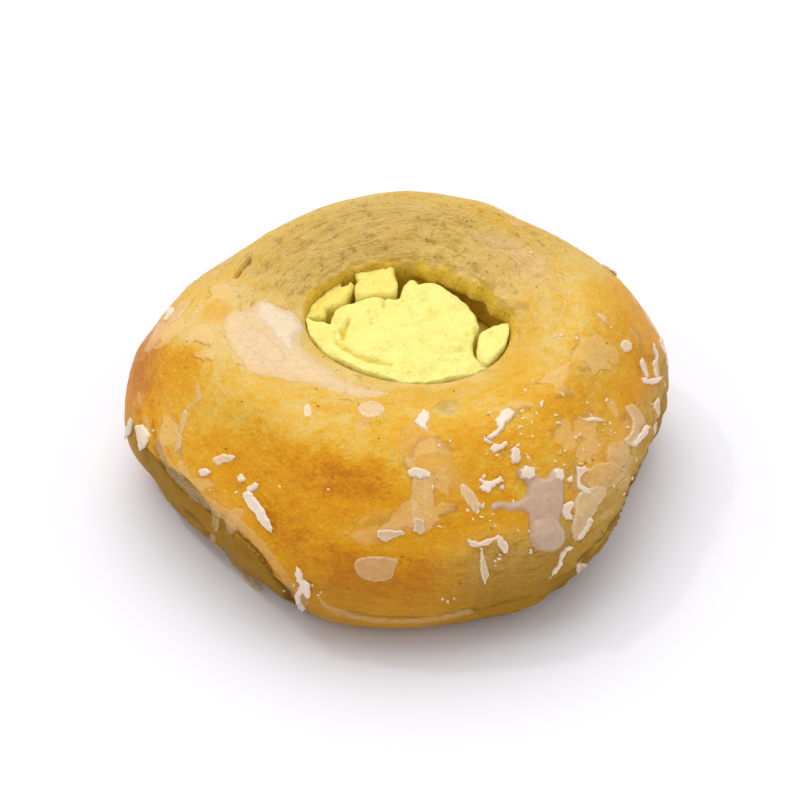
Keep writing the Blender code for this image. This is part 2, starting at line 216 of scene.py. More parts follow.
def bun_form(bearing, way):
    """Points of the bun's skin before its fine relief, and how far each lies under a ledge."""
    radii, heights = half_section(bearing)
    steps = np.hypot(np.diff(past_ends(radii), axis=0), np.diff(past_ends(heights), axis=0)) ** 0.5
    radius = np.maximum(smooth_curve(radii, steps, way), 0.0)
    height = np.maximum(smooth_curve(heights, steps, way), 0.0)
    outside = smooth_step((way - 7.0) / 1.5)
    stand, shaded = ledge_relief(bearing, height)
    radius = radius + outside * stand
    lean = smooth_step((way - 4.0) / 4.0)
    x = WELL_CENTRE[0] + (BELLY_CENTRE[0] - WELL_CENTRE[0]) * lean + radius * np.cos(bearing)
    y = WELL_CENTRE[1] + (BELLY_CENTRE[1] - WELL_CENTRE[1]) * lean + radius * np.sin(bearing)
    skin = smooth_step((way - 5.0) / 1.0) * smooth_step((12.0 - way) / 1.5)
    lumps = np.array([noise.noise(Vector(p) / LUMP_SIZE) for p in zip(x, y, height)])
    height = height + skin * LUMP_HEIGHT * lumps * smooth_step((height - 8 * MM) / (12 * MM))
    sideways = skin * LUMP_HEIGHT * lumps * smooth_step((way - 8.0) / 1.5)
    points = np.stack((x + sideways * np.cos(bearing), y + sideways * np.sin(bearing), height), axis=-1)
    return points, outside * shaded


ways = np.concatenate([[0.0]] + [stretch + np.arange(1, count + 1) / count
                                 for stretch, count in enumerate(SKIN_ROWS)])
way_grid, bearing_grid = np.meshgrid(ways, np.linspace(0.0, 2 * math.pi, SKIN_COLUMNS, endpoint=False),
                                     indexing="ij")
skin_way, skin_bearing = way_grid.ravel(), bearing_grid.ravel()
skin_form, skin_shaded = bun_form(skin_bearing, skin_way)
form_grid = skin_form.reshape(*way_grid.shape, 3)
along_way = np.gradient(form_grid, axis=0)
along_ring = np.roll(form_grid, -1, axis=1) - np.roll(form_grid, 1, axis=1)
outward = np.cross(along_way, along_ring)
outward[0] = (0.0, 0.0, 1.0)
outward[-1] = (0.0, 0.0, -1.0)
skin_out = (outward / np.linalg.norm(outward, axis=2, keepdims=True)).reshape(-1, 3)
run = np.cumsum(np.linalg.norm(np.diff(form_grid, axis=0, prepend=form_grid[:1]), axis=2), axis=0).ravel()
skin_pixels = pixels_of(skin_form)
to_eye = EYE - skin_form
skin_facing = np.sum(skin_out * to_eye, axis=1) / np.linalg.norm(to_eye, axis=1)
skin_seen = smooth_step((skin_facing + 0.30) / 0.25)

# Relief of the baked skin: a dimpled crust, dough pulled into fibres round the inside of the ring, open
# flaky layers low on the side, one slit, a few burst pits.
FIBRE_TURNS = 5.0
FIBRE_WIDTH = 0.55 * MM
FIBRE_HEIGHT = 0.10 * MM
LAYER_TURNS = 9.0
LAYER_WIDTH = 1.5 * MM
LAYER_HEIGHT = 0.42 * MM
PORE_SIZE = 1.3 * MM
CRUST_ROUGHNESS = 0.62 * MM
WALL_LUMPS = 0.75 * MM
WALL_LUMPS_FROM = 32.5 * MM
WALL_BULGE = 2.6 * MM
GROOVE_DEPTH = 0.55 * MM
# Open seams between the layers at the foot: path in the picture, half width in pixels, how deep
GROOVES = ((((156, 448), (168, 470), (184, 489), (200, 503), (217, 515), (238, 533), (258, 554), (276, 578),
             (292, 603)), 3.2, 1.0),
           (((186, 512), (206, 528), (222, 548), (240, 570)), 1.8, 0.5),
           (((650, 446), (640, 476), (625, 506), (605, 536), (580, 562)), 2.0, 0.8),
           (((642, 470), (630, 500), (612, 528), (592, 550)), 1.6, 0.6),
           (((656, 470), (642, 504), (620, 540), (594, 568), (560, 590)), 2.0, 0.8),
           (((340, 612), (380, 618), (430, 618), (480, 610), (530, 596)), 1.6, 0.4),
           (((152, 420), (156, 440), (164, 458)), 2.0, 0.6),
           (((237, 276), (244, 266), (249, 259)), 1.7, 0.8))
SLIT = ((236, 277), (249, 259))
SLIT_HALF_WIDTH = 3.4
SLIT_DEPTH = 1.3 * MM
# Burst pits, and where negative blisters: centre and radius in pixels, depth in mm
PITS = (
    (236, 292, 5, 0.5), (241, 298, 3, 0.35), (243, 306, 5, 0.5), (442, 398, 3, 0.4), (484, 316, 5, -0.7),
    (432, 226, 6, 0.25), (560, 234, 5, -0.5),
)

fibre_place = np.stack((FIBRE_TURNS * np.cos(skin_bearing), FIBRE_TURNS * np.sin(skin_bearing),
                        run / FIBRE_WIDTH), axis=-1)
layer_place = np.stack((LAYER_TURNS * np.cos(skin_bearing), LAYER_TURNS * np.sin(skin_bearing),
                        skin_form[:, 2] / LAYER_WIDTH), axis=-1)


def between(value, low, high, soft):
    """One where a value lies between two limits, falling off softly outside them."""
    return smooth_step((value - low) / soft + 1.0) * smooth_step((high - value) / soft + 1.0)


def near_line(pixels, start, end):
    """Distance of pixels from a straight line, and how far along it they lie."""
    start, run_on = np.array(start, float), np.subtract(end, start).astype(float)
    along = np.clip(((pixels - start) @ run_on) / (run_on @ run_on), 0.0, 1.0)
    return np.linalg.norm(pixels - start - along[:, None] * run_on, axis=1), along


skin_degrees = np.degrees(skin_bearing)
on_back = between(skin_degrees, 35, 150, 25)
on_right = between((skin_degrees + 180) % 360, 110, 185, 18)
pulled = on_back * between(skin_way, 5.2, 8.2, 0.8) + 0.35 * between(skin_way, 3.0, 5.4, 0.6)
layered = np.maximum(skin_shaded, 0.85 * on_right * between(skin_way, 9.1, 12.0, 0.6))
crusted = between(skin_way, 5.2, 12.0, 0.5)
dimples = (0.16 * grain(skin_form, 6 * MM, 1) + 0.07 * grain(skin_form, 2.6 * MM, 2)
           + 0.04 * grain(skin_form, 1.2 * MM, 3)) * MM
fibres = FIBRE_HEIGHT * (grain(fibre_place, 1.0, 4) + 0.5 * grain(2 * fibre_place, 1.0, 5))
leaves = LAYER_HEIGHT * (grain(layer_place, 1.0, 6) + 0.4 * grain(skin_form, PORE_SIZE, 7))
above_custard = smooth_step((skin_form[:, 2] - WALL_LUMPS_FROM) / (1.0 * MM))
above_custard = above_custard * between(skin_way, 2.0, 6.2, 0.6)
above_custard = above_custard * (1.0 - between(skin_degrees, 215, 325, 20))
wall_lumps = WALL_LUMPS * (0.6 * grain(skin_form, 2.7 * MM, 8) + 0.4 * grain(skin_form, 1.2 * MM, 9))
relief = crusted * dimples + pulled * fibres + layered * leaves + above_custard * wall_lumps
from_slit, along_slit = near_line(skin_pixels, *SLIT)
slit = smooth_step(1.6 * (1.0 - from_slit / (SLIT_HALF_WIDTH * (0.55 + 0.45 * along_slit)))) * skin_seen
relief = relief - SLIT_DEPTH * slit
for across, down, size, depth in PITS:
    apart = np.hypot(skin_pixels[:, 0] - across, skin_pixels[:, 1] - down)
    relief = relief - depth * MM * smooth_step(1.0 - apart / size) * skin_seen
grooved = np.zeros(len(skin_form))
groove_wander = 1.6 * grain(skin_form, 3.5 * MM, 11) + 0.8 * grain(skin_form, 1.2 * MM, 12)
for path, width, deep in GROOVES:
    apart = np.min([near_line(skin_pixels, a, b)[0] for a, b in zip(path, path[1:])], axis=0)
    share = smooth_step(1.25 - np.abs(apart + groove_wander) / width)
    grooved = np.maximum(grooved, deep * share * skin_seen)
relief = relief - GROOVE_DEPTH * grooved
bulge = WALL_BULGE * between(skin_degrees, 14, 78, 12) * between(skin_way, 2.0, 6.3, 0.8)
bulge = bulge * between(skin_form[:, 2] / MM, 31.5, 34.5, 1.5)
bulge = bulge * (0.75 + 0.35 * grain(skin_form, 2.2 * MM, 13))
relief = relief + bulge
skin_points = skin_form + relief[:, None] * skin_out
skin_points[:, 2] = np.maximum(skin_points[:, 2], 0.0)

# How the bun baked, from pale (0) over straw and golden to toasted (1). Each patch is a soft oval of the
# picture: centre, half length and half width in pixels, turn, the value it draws the skin to, its weight.
BAKED = (
    (400, 215, 150, 30, 0, 0.02, 0.8), (280, 248, 60, 26, -30, 0.16, 0.8),
    (560, 268, 70, 30, 35, 0.16, 0.9), (505, 217, 46, 10, 18, 0.42, 0.8),
    (420, 191, 44, 6, 0, 0.35, 0.7), (400, 245, 90, 16, 0, 0.14, 0.7),
    (220, 325, 60, 34, -20, 0.06, 0.9), (216, 312, 14, 11, 0, 0.5, 0.8),
    (300, 392, 80, 18, 18, 0.24, 0.8), (430, 398, 80, 12, -4, 0.42, 0.8),
    (400, 430, 60, 18, 0, 0.36, 0.8), (250, 425, 80, 26, 15, 0.34, 0.8),
    # The toasted patch at the far left edge is also painted shade, for the side that faces away from the
    # light.
    (146, 372, 24, 56, 0, 1.14, 0.95), (180, 374, 26, 34, 20, 0.72, 0.9),
    (165, 425, 28, 44, -5, 0.55, 0.8), (250, 455, 70, 30, 12, 0.60, 0.8),
    (300, 485, 90, 36, 18, 0.78, 0.9), (350, 478, 44, 24, 8, 1.04, 0.85),
    (440, 445, 60, 26, 0, 0.58, 0.8), (480, 450, 50, 36, 10, 0.66, 0.8),
    (445, 500, 70, 30, 0, 0.72, 0.8), (520, 350, 24, 50, 20, 0.40, 0.8),
    (545, 385, 60, 22, -8, 0.50, 0.8), (632, 312, 36, 26, 48, 0.66, 0.9),
    (604, 298, 24, 20, 45, 0.52, 0.7), (600, 345, 30, 22, 0, 0.54, 0.8),
    (638, 362, 18, 24, 0, 0.74, 0.8), (590, 420, 60, 40, 0, 0.64, 0.9), (652, 405, 24, 54, 0, 0.86, 0.9),
    (330, 555, 90, 22, 30, 0.92, 0.9), (400, 580, 110, 26, 0, 1.02, 0.95),
    (500, 575, 70, 30, -12, 0.86, 0.9), (420, 614, 110, 8, 0, 0.74, 0.9),
    (210, 525, 70, 26, 40, 0.80, 0.9), (600, 520, 34, 60, 38, 0.78, 0.8),
)
# Where thin icing clouds the crust, in the same columns
CLOUDED = (
    (164, 328, 15, 22, 35, 1, 0.6), (300, 366, 66, 18, 18, 1, 0.5), (232, 342, 44, 30, 20, 1, 0.4),
    (214, 318, 40, 16, -30, 1, 0.35), (500, 243, 34, 9, 14, 1, 0.7), (530, 268, 34, 16, 32, 1, 0.55),
    (604, 345, 30, 26, 0, 1, 0.2), (562, 372, 44, 10, -12, 1, 0.36), (444, 374, 60, 8, -14, 1, 0.25),
    (440, 472, 36, 50, -20, 1, 0.25), (382, 524, 52, 14, -16, 1, 0.34), (214, 500, 46, 12, 38, 1, 0.36),
    (170, 432, 10, 44, -14, 1, 0.3), (652, 400, 16, 36, 0, 1, 0.15), (232, 290, 22, 12, 35, 1, 0.5),
    (500, 400, 90, 16, -10, 1, 0.12), (600, 465, 44, 60, 20, 1, 0.36), (420, 500, 12, 36, 0, 1, 0.3),
)
# Where crumbs of icing lie, in the same columns: how thickly in place of how baked
CRUMBED = (
    (540, 450, 70, 60, 0, 1.0, 1.0), (242, 482, 22, 14, 0, 1.0, 1.0), (520, 530, 60, 34, 0, 0.6, 0.8),
    (610, 450, 30, 60, 0, 1.0, 0.8), (420, 470, 40, 60, 0, 0.3, 0.8), (305, 590, 12, 26, 0, 1.0, 0.9),
    (145, 430, 10, 24, 0, 0.8, 0.8), (600, 330, 50, 40, 30, 0.3, 0.6), (220, 320, 30, 14, 0, 0.3, 0.6),
)
# Where the glaze still shines wet, in the same columns
WET = (
    (325, 417, 26, 9, 8, 1, 0.9), (342, 430, 16, 6, 20, 1, 0.8), (262, 352, 30, 14, 20, 1, 0.5),
    (300, 470, 60, 20, 10, 1, 0.18), (480, 450, 50, 30, 10, 1, 0.15),
)
FAR_PATCHES = 26


def drawn_to(values, table, seed):
    """Values of the skin drawn to the soft, uneven ovals of the picture, on the part that it shows."""
    wander = 6.0 * np.stack([grain(skin_form, 4 * MM, seed + k) for k in (0, 1)], axis=-1)
    wander += 3.0 * np.stack([grain(skin_form, 1.3 * MM, seed + k) for k in (2, 3)], axis=-1)
    for across, down, half_length, half_width, turn, target, weight in table:
        cosine, sine = math.cos(math.radians(turn)), math.sin(math.radians(turn))
        off = skin_pixels + wander - (across, down)
        along = (off[:, 0] * cosine + off[:, 1] * sine) / half_length
        aside = (off[:, 1] * cosine - off[:, 0] * sine) / half_width
        share = weight * smooth_step(1.45 - np.hypot(along, aside)) * skin_seen
        values = values + share * (target - values)
    return values


def far_patches(values, seed, half_size, targets):
    """The same kind of patches at random places on the sides that the picture doesn't show."""
    draw = random.Random(seed)
    wander = 0.3 * half_size * grain(skin_form, 5 * MM, seed + 1)
    for _ in range(FAR_PATCHES):
        middle_bearing, middle_way = draw.uniform(0, 2 * math.pi), draw.uniform(7.5, 11.0)
        place = bun_form(np.array([middle_bearing]), np.array([middle_way]))[0][0]
        target, size = draw.uniform(*targets), half_size * draw.uniform(0.6, 1.4)
        apart = np.linalg.norm(skin_form - place, axis=1) + wander
        share = 0.7 * smooth_step(1.45 - apart / size) * (1.0 - skin_seen)
        values = values + share * (target - values)
    return values


by_way = 0.04 + 0.2 * smooth_step((skin_way - 5.6) / 1.4) + 0.36 * smooth_step((skin_way - 7.2) / 1.6) \
    + 0.25 * smooth_step((skin_way - 9.0) / 1.5)
skin_bake = drawn_to(far_patches(by_way, 31, 10 * MM, (0.3, 1.05)), BAKED, 30)
# The last term darkens the crust under the ledges: painted shade there.
skin_bake = skin_bake + 0.07 * grain(skin_form, 9 * MM, 20) + 0.07 * grain(skin_form, 3.0 * MM, 21) \
    + 0.22 * skin_shaded
skin_cloud = drawn_to(far_patches(np.zeros(len(skin_form)), 51, 5 * MM, (0.0, 0.7)), CLOUDED, 50)
skin_cloud = np.clip(skin_cloud, 0.0, 1.0)
skin_crumb = np.clip(layered + 0.5 * pulled, 0.0, 1.0)
skin_crumbed = drawn_to(far_patches(0.02 * crusted, 71, 7 * MM, (0.2, 1.0)), CRUMBED, 70)
skin_crumbed = np.clip(skin_crumbed * (0.5 + grain(skin_form, 2.5 * MM, 75)), 0.0, 1.0)
skin_specked = crusted * np.clip(0.3 + 0.7 * grain(skin_form, 14 * MM, 76), 0.05, 1.0)
skin_soak = between(skin_way + 0.5 * grain(skin_form, 2.4 * MM, 15), 0.0, 4.05, 0.6)
skin_wet = drawn_to(np.zeros(len(skin_form)), WET, 80)
# Darker toward the foot, and painted shade under the ledges.
skin_low_and_ledge_shade = np.maximum(smooth_step((skin_way - 8.5) / 2.6), smooth_step(skin_shaded * 1.6))


def mesh_object(name, points, faces, fields=None):
    """A smooth-shaded mesh in the scene, with a value for each point in each named field."""
    mesh = bpy.data.meshes.new(name)
    mesh.from_pydata([tuple(p) for p in points], [], faces)
    for field, values in (fields or {}).items():
        flat = np.asarray(values, np.float32)
        kind, key = ("FLOAT", "value") if flat.ndim == 1 else ("FLOAT_VECTOR", "vector")
        mesh.attributes.new(field, kind, "POINT").data.foreach_set(key, flat.ravel())
    mesh.shade_smooth()
    body = bpy.data.objects.new(name, mesh)
    bpy.context.scene.collection.objects.link(body)
    return body


def grid_faces(rows, columns):
    """Quads of a grid that is closed round its columns, its first and last row drawn to a point each."""
    faces = []
    for row in range(1, rows - 2):
        for column in range(columns):
            beside = (column + 1) % columns
            upper, lower = 1 + (row - 1) * columns, 1 + row * columns
            faces.append((upper + column, lower + column, lower + beside, upper + beside))
    last = 1 + (rows - 2) * columns
    for column in range(columns):
        beside = (column + 1) % columns
        faces.append((0, 1 + column, 1 + beside))
        faces.append((last, last - columns + beside, last - columns + column))
    return faces


def poled(values):
    """A field of the skin's grid with its first and last row as one point each."""
    grid = values.reshape(len(ways), SKIN_COLUMNS, -1)
    flat = np.concatenate((grid[0, :1], grid[1:-1].reshape(-1, grid.shape[2]), grid[-1, :1]))
    return flat if flat.shape[1] > 1 else flat[:, 0]


class Wire:
    """An output of a node that takes part in sums; each sum adds a Math node to the same tree."""

    def __init__(self, board, socket):
        self.board, self.socket = board, socket

    def sum_of(self, operation, *values):
        return self.board.node("ShaderNodeMath", {"operation": operation}, dict(enumerate(values)))

    def __add__(self, other):
        return self.sum_of("ADD", self, other)

    def __sub__(self, other):
        return self.sum_of("SUBTRACT", self, other)

    def __rsub__(self, other):
        return self.sum_of("SUBTRACT", other, self)

    def __mul__(self, other):
        return self.sum_of("MULTIPLY", self, other)

    __radd__ = __add__
    __rmul__ = __mul__


class Board:
    """A node tree under construction, of a finish or of Geometry Nodes."""

    def __init__(self, tree):
        self.tree = tree

    def node(self, kind, settings=None, sockets=None, output=0):
        """Add a node, set it, give its sockets values or wires, and hand back one output."""
        made = self.tree.nodes.new(kind)
        for key, value in (settings or {}).items():
            setattr(made, key, value)
        for key, value in (sockets or {}).items():
            if isinstance(value, Wire):
                self.tree.links.new(value.socket, made.inputs[key])
            else:
                made.inputs[key].default_value = value
        return Wire(self, made.outputs[output]) if len(made.outputs) else None

    def field(self, name, output="Fac"):
        return self.node("ShaderNodeAttribute", {"attribute_name": name}, {}, output)

    def speckle(self, size, detail=2.0, place=None, rough=0.5):
        """Cloudy noise from 0 to 1 with swells of the given size in metres, over the object."""
        where = place or self.node("ShaderNodeTexCoord", {}, {}, "Object")
        return self.node("ShaderNodeTexNoise", {}, {"Vector": where, "Scale": 1.0 / size, "Detail": detail,
                                                    "Roughness": rough})

    def wavering(self, size, waver):
        """Places on the object, moved about by noise so that patterns laid over them turn ragged."""
        where = self.node("ShaderNodeTexCoord", {}, {}, "Object")
        noisy = self.node("ShaderNodeTexNoise", {},
                          {"Vector": where, "Scale": 1.6 / size, "Detail": 4.0}, 1)
        return self.node("ShaderNodeVectorMath", {"operation": "MULTIPLY_ADD"},
                         {0: noisy, 1: (waver,) * 3, 2: where})

    def cells(self, size, feature="F1", waver=0.0):
        """Distance to the nearest of scattered points a size apart, or to the edge between two of them."""
        return self.node("ShaderNodeTexVoronoi", {"feature": feature},
                         {"Vector": self.wavering(size, waver), "Scale": 1.0 / size}, "Distance")

    def shards(self, size, waver):
        """A random value from 0 to 1 for each of the ragged plates into which a film cracked."""
        cell = self.node("ShaderNodeTexVoronoi", {}, {"Vector": self.wavering(size, waver),
                                                      "Scale": 1.0 / size}, "Color")
        return self.node("ShaderNodeSeparateColor", {}, {"Color": cell})

    def rise(self, value, low, high):
        """Smooth rise from 0 to 1 as the value goes from low to high."""
        return self.node("ShaderNodeMapRange", {"interpolation_type": "SMOOTHSTEP"},
                         {"Value": value, "From Min": low, "From Max": high})

    def mix(self, factor, under, over):
        """One colour laid over another."""
        return self.node("ShaderNodeMix", {"data_type": "RGBA"}, {0: factor, 6: under, 7: over}, 2)


def new_finish(name):
    finish = bpy.data.materials.new(name)
    finish.use_nodes = True
    finish.node_tree.nodes.clear()
    return finish, Board(finish.node_tree)


def crust_finish():
    """Baked dough: pale where it rose last, golden to toasted on the shoulders, clouded by thin icing,
    darker toward the foot, with painted shade in its small hollows, open seams and pits and under its
    ledges.
    """
    finish, board = new_finish("baked crust")
    pale, straw, golden = (0.76, 0.53, 0.17, 1.0), (0.76, 0.44, 0.045, 1.0), (0.72, 0.32, 0.004, 1.0)
    toasted, seam_and_pit_shade = (0.52, 0.16, 0.002, 1.0), (0.20, 0.08, 0.01, 1.0)
    clouded, crumb, soaked = (0.86, 0.60, 0.28, 1.0), (0.42, 0.235, 0.02, 1.0), (0.76, 0.50, 0.045, 1.0)
    shadowed, olive_low_shade = (0.50, 0.21, 0.004, 1.0), (0.46, 0.23, 0.010, 1.0)
    light_crumb, browned = (0.78, 0.54, 0.16, 1.0), (0.42, 0.22, 0.01, 1.0)
    mottle = board.speckle(2.6 * MM, 6.0, rough=0.66)
    fine = board.speckle(0.7 * MM, 5.0, rough=0.75)
    grit = board.speckle(0.32 * MM, 2.0)
    bubbly = board.rise(board.speckle(9 * MM, 1.0), 0.42, 0.6)
    bubbles = board.rise(board.cells(1.3 * MM), 0.45, 0.15) * bubbly
    pull = board.field("pull", "Vector")
    fibre = board.speckle(1.0, 4.0, place=pull, rough=0.7)
    short = board.node("ShaderNodeVectorMath", {"operation": "MULTIPLY"}, {0: pull, 1: (3.0, 3.0, 0.5)})
    streak = board.speckle(1.0, 5.0, place=short, rough=0.6)
    open_crumb = board.field("crumb")
    bake = board.field("bake") + 0.80 * (mottle - 0.5) + 0.80 * (fine - 0.5) + 0.60 * (grit - 0.5)
    bake = bake + 0.75 * (streak - 0.5) - 0.14 * bubbles + open_crumb * (2.0 * fibre + 1.6 * grit - 1.8)
    colour = board.mix(board.rise(bake, 0.0, 0.34), pale, straw)
    colour = board.mix(board.rise(bake, 0.28, 0.68), colour, golden)
    colour = board.mix(board.rise(bake, 0.62, 1.22), colour, toasted)
    torn = open_crumb * board.rise(0.6 * streak + 0.4 * fibre, 0.47, 0.39) * 1.2
    colour = board.mix(torn, colour, browned)
    # The low field darkens the crust toward the foot and paints shade under the ledges: darker crumb there,
    # and olive brown.
    low = board.field("low")
    flaky = open_crumb * (0.30 + 0.6 * board.rise(0.4 * fibre + 0.6 * streak, 0.40, 0.60))
    colour = board.mix(flaky, colour, board.mix(low, light_crumb, crumb))
    colour = board.mix(low * (0.28 + 0.7 * streak), colour, olive_low_shade)
    # Painted shade: the open seams turn near black.
    groove = board.field("groove")
    colour = board.mix(groove * (0.55 + 0.5 * fine), colour, seam_and_pit_shade)
    soak = board.field("soak")
    colour = board.mix(soak * board.rise(mottle, 0.2, 0.5), colour, soaked)
    colour = board.mix(soak * board.rise(0.5 * streak + 0.5 * fine, 0.50, 0.62) * 0.7, colour, browned)
    # Painted shade in the crust's small hollows, where its relief lies low.
    hollow_shade = board.rise(0.4 * fine + 0.3 * grit + 0.3 * streak, 0.46, 0.32)
    colour = board.mix(hollow_shade * 0.6, colour, shadowed)
    film = board.rise(board.field("cloud") + 0.45 * (mottle - 0.5) + 0.2 * (fine - 0.5), 0.05, 0.95)
    shard = board.shards(4.2 * MM, 2.2 * MM)
    plate = board.rise(1.15 * board.field("cloud") + 0.12 * (fine - 0.5) - shard, 0.0, 0.07)
    colour = board.mix(0.34 * film + 0.30 * plate, colour, clouded)
    # Small pits, darkened as painted shade.
    pit = board.rise(board.cells(3.4 * MM), 0.10, 0.05) * board.rise(mottle, 0.5, 0.62)
    colour = board.mix(pit * 0.6, colour, seam_and_pit_shade)
    height = 0.45 * mottle + 0.45 * fine + 0.12 * grit + 0.4 * streak + 0.2 * bubbles - 0.5 * pit
    height = height + open_crumb * (2.2 * fibre + 0.6 * grit)
    bumped = board.node("ShaderNodeBump", {}, {"Strength": 1.0, "Distance": CRUST_ROUGHNESS,
                                               "Height": height + 0.35 * plate}, 0)
    shader = board.node("ShaderNodeBsdfPrincipled", {}, {
        "Base Color": colour, "Normal": bumped,
        "Roughness": 0.42 - 0.10 * film - 0.24 * board.field("wet") + 0.2 * open_crumb,
        "Subsurface Weight": 0.12, "Subsurface Radius": (1.0, 0.4, 0.1), "Subsurface Scale": 0.9 * MM,
        "Specular IOR Level": 0.18, "IOR": 1.42})
    board.node("ShaderNodeOutputMaterial", {}, {"Surface": shader})
    return finish


bun = mesh_object("bun_skin", poled(skin_points), grid_faces(len(ways), SKIN_COLUMNS), {
    "bake": poled(skin_bake), "cloud": poled(skin_cloud), "crumb": poled(skin_crumb),
    "soak": poled(skin_soak), "low": poled(skin_low_and_ledge_shade), "groove": poled(grooved),
    "wet": poled(skin_wet), "pull": poled(fibre_place), "crumbed": poled(skin_crumbed),
    "specked": poled(skin_specked)})
bun.data.materials.append(crust_finish())
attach(bun, "root")
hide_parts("bun")

# The custard: a soft cream baked in the well, risen, cracked and shrunk from the dough on the right. A
# bed fills the well, its broken top stands on it, and three lumps broke loose at the edge.
CUSTARD_GAP = 0.25 * MM
CUSTARD_TOUCH = 0.06 * MM
CUSTARD_TOP = 32.1 * MM
LEFT_TOP = 31.4 * MM
BACK_TOP = 32.3 * MM
CRUMB_TOP = 33.0 * MM
OUTLINE_STEP = 0.35 * MM
TOP_STEP = 0.40 * MM
SHELF_GRID = 0.8 * MM
NO_GRID = 50 * MM
CRACK_SIZE = 6.5 * MM
CUSTARD_ROUGHNESS = 0.8 * MM
CUSTARD_DOME = 1.0 * MM
SHELF_HEIGHT = 25.5 * MM
SHELF_STEP = 0.2 * MM
LUMP_FOOT = SHELF_HEIGHT + SHELF_STEP + 0.45 * MM
FLOOR_ROUND = 2.6 * MM
BED_SIDES = 160
# Outlines of the tops, and creases in them, in pixels of the picture
MAIN_OUTLINE = ((330, 325), (333, 315), (338, 307), (357, 302), (372, 300), (384, 300), (398, 299),
                (402, 293), (406, 283), (411, 279), (417, 281), (419, 287), (422, 284), (434, 283),
                (443, 289), (458, 298), (468, 306), (475, 315), (479, 328), (475, 336), (473, 345),
                (474, 353), (479, 358), (514, 378), (470, 440), (400, 460), (320, 420), (285, 365),
                (286, 322), (318, 320), (326, 322))
LEFT_OUTLINE = ((325, 316), (316, 317), (282, 316), (278, 280), (310, 260), (338, 278), (341, 285),
                (346, 286), (350, 282), (354, 284), (352, 293), (346, 302), (336, 306), (327, 309))
BACK_OUTLINE = ((355, 284), (357, 276), (336, 252), (365, 240), (386, 248), (395, 272), (398, 287),
                (395, 295), (384, 297), (362, 299), (355, 296))
CRUMB_OUTLINE = ((477, 348), (479, 335), (486, 328), (496, 323), (510, 322), (545, 327), (545, 377),
                 (505, 361), (486, 361), (478, 355))
CREASES = (((337, 344), (344, 350), (352, 355), (368, 362), (391, 366)),
           ((369, 314), (371, 320), (373, 327)), ((409, 308), (412, 318)), ((385, 299), (384, 310)),
           ((440, 352), (450, 356), (462, 352)), ((420, 340), (427, 352)),
           ((348, 324), (344, 332), (343, 341)))
# How deep each crease is in mm, and how wide all are in pixels
CREASE_DEPTH = (0.9, 0.5, 0.45, 0.7, 0.35, 0.3, 1.3)
CREASE_WIDTH = 3.2
# Hollows in the top: centre and radius in pixels, depth in mm
DENTS = (
    (343, 332, 6.5, 1.4), (425, 351, 8, 0.35), (468, 338, 6, 0.7), (450, 345, 12, 0.3),
    (385, 322, 10, 0.25),
)


def at_level(pixels, level):
    """Plan places where the camera's sight lines through pixels meet a level plane."""
    lines = sight_lines(pixels)
    return (EYE + lines * ((level - EYE[2]) / lines[:, 2:]))[:, :2]


def evenly(corners, step, rounded=True):
    """A closed outline through corners, with points about a step apart."""
    corners = np.asarray(corners, float)
    if rounded:
        before, after, second = (np.roll(corners, shift, axis=0) for shift in (1, -1, -2))
        dense = []
        for part in np.linspace(0.0, 1.0, 12, endpoint=False):
            square, cube = part * part, part ** 3
            dense.append(0.5 * (2 * corners + (after - before) * part
                                + (2 * before - 5 * corners + 4 * after - second) * square
                                + (3 * corners - before - 3 * after + second) * cube))
        corners = np.stack(dense, axis=1).reshape(-1, 2)
    closed = np.concatenate((corners, corners[:1]))
    lengths = np.concatenate(([0.0], np.cumsum(np.linalg.norm(np.diff(closed, axis=0), axis=1))))
    places = np.linspace(0.0, lengths[-1], max(8, round(lengths[-1] / step)), endpoint=False)
    return np.stack([np.interp(places, lengths, closed[:, k]) for k in (0, 1)], axis=-1)


def depth_inside(places, loops):
    """How far places lie inside the area between closed outlines, negative outside it."""
    starts = np.concatenate(loops)
    ends = np.concatenate([np.roll(loop, -1, axis=0) for loop in loops])
    runs = ends - starts
    answer = []
    for some in np.array_split(places, len(places) // 3000 + 1):
        off = some[:, None] - starts
        part = np.clip((off * runs).sum(axis=2) / (runs * runs).sum(axis=1), 0.0, 1.0)
        apart = np.linalg.norm(off - part[..., None] * runs, axis=2).min(axis=1)
        level = some[:, None, 1]
        spans = (starts[:, 1] > level) != (ends[:, 1] > level)
        rise = np.where(runs[:, 1] == 0, 1.0, runs[:, 1])
        crossing = starts[:, 0] + (level - starts[:, 1]) / rise * runs[:, 0]
        inside = (spans & (some[:, None, 0] < crossing)).sum(axis=1) % 2 == 1
        answer.append(np.where(inside, apart, -apart))
    return np.concatenate(answer)


def fill(loops, spacing):
    """Points and triangles that fill the area between closed outlines, whose points come first."""
    outline = np.concatenate(loops)
    edges, first = [], 0
    for loop in loops:
        edges += [(first + k, first + (k + 1) % len(loop)) for k in range(len(loop))]
        first += len(loop)
    low, high = outline.min(axis=0), outline.max(axis=0)
    rows = []
    for k, level in enumerate(np.arange(low[1], high[1], 0.87 * spacing)):
        across = np.arange(low[0] + (k % 2) * spacing / 2, high[0], spacing)
        rows.append(np.column_stack((across, np.full(len(across), level))))
    inner = np.concatenate(rows)
    inner = inner[depth_inside(inner, loops) > 0.55 * spacing]
    places = np.concatenate((outline, inner))
    made = geometry.delaunay_2d_cdt([Vector(p) for p in places], edges, [], 0, 1e-9)
    triangles = np.array(made[2])
    middles = places[triangles].mean(axis=1)
    return places, triangles[depth_inside(middles, loops) > 0]


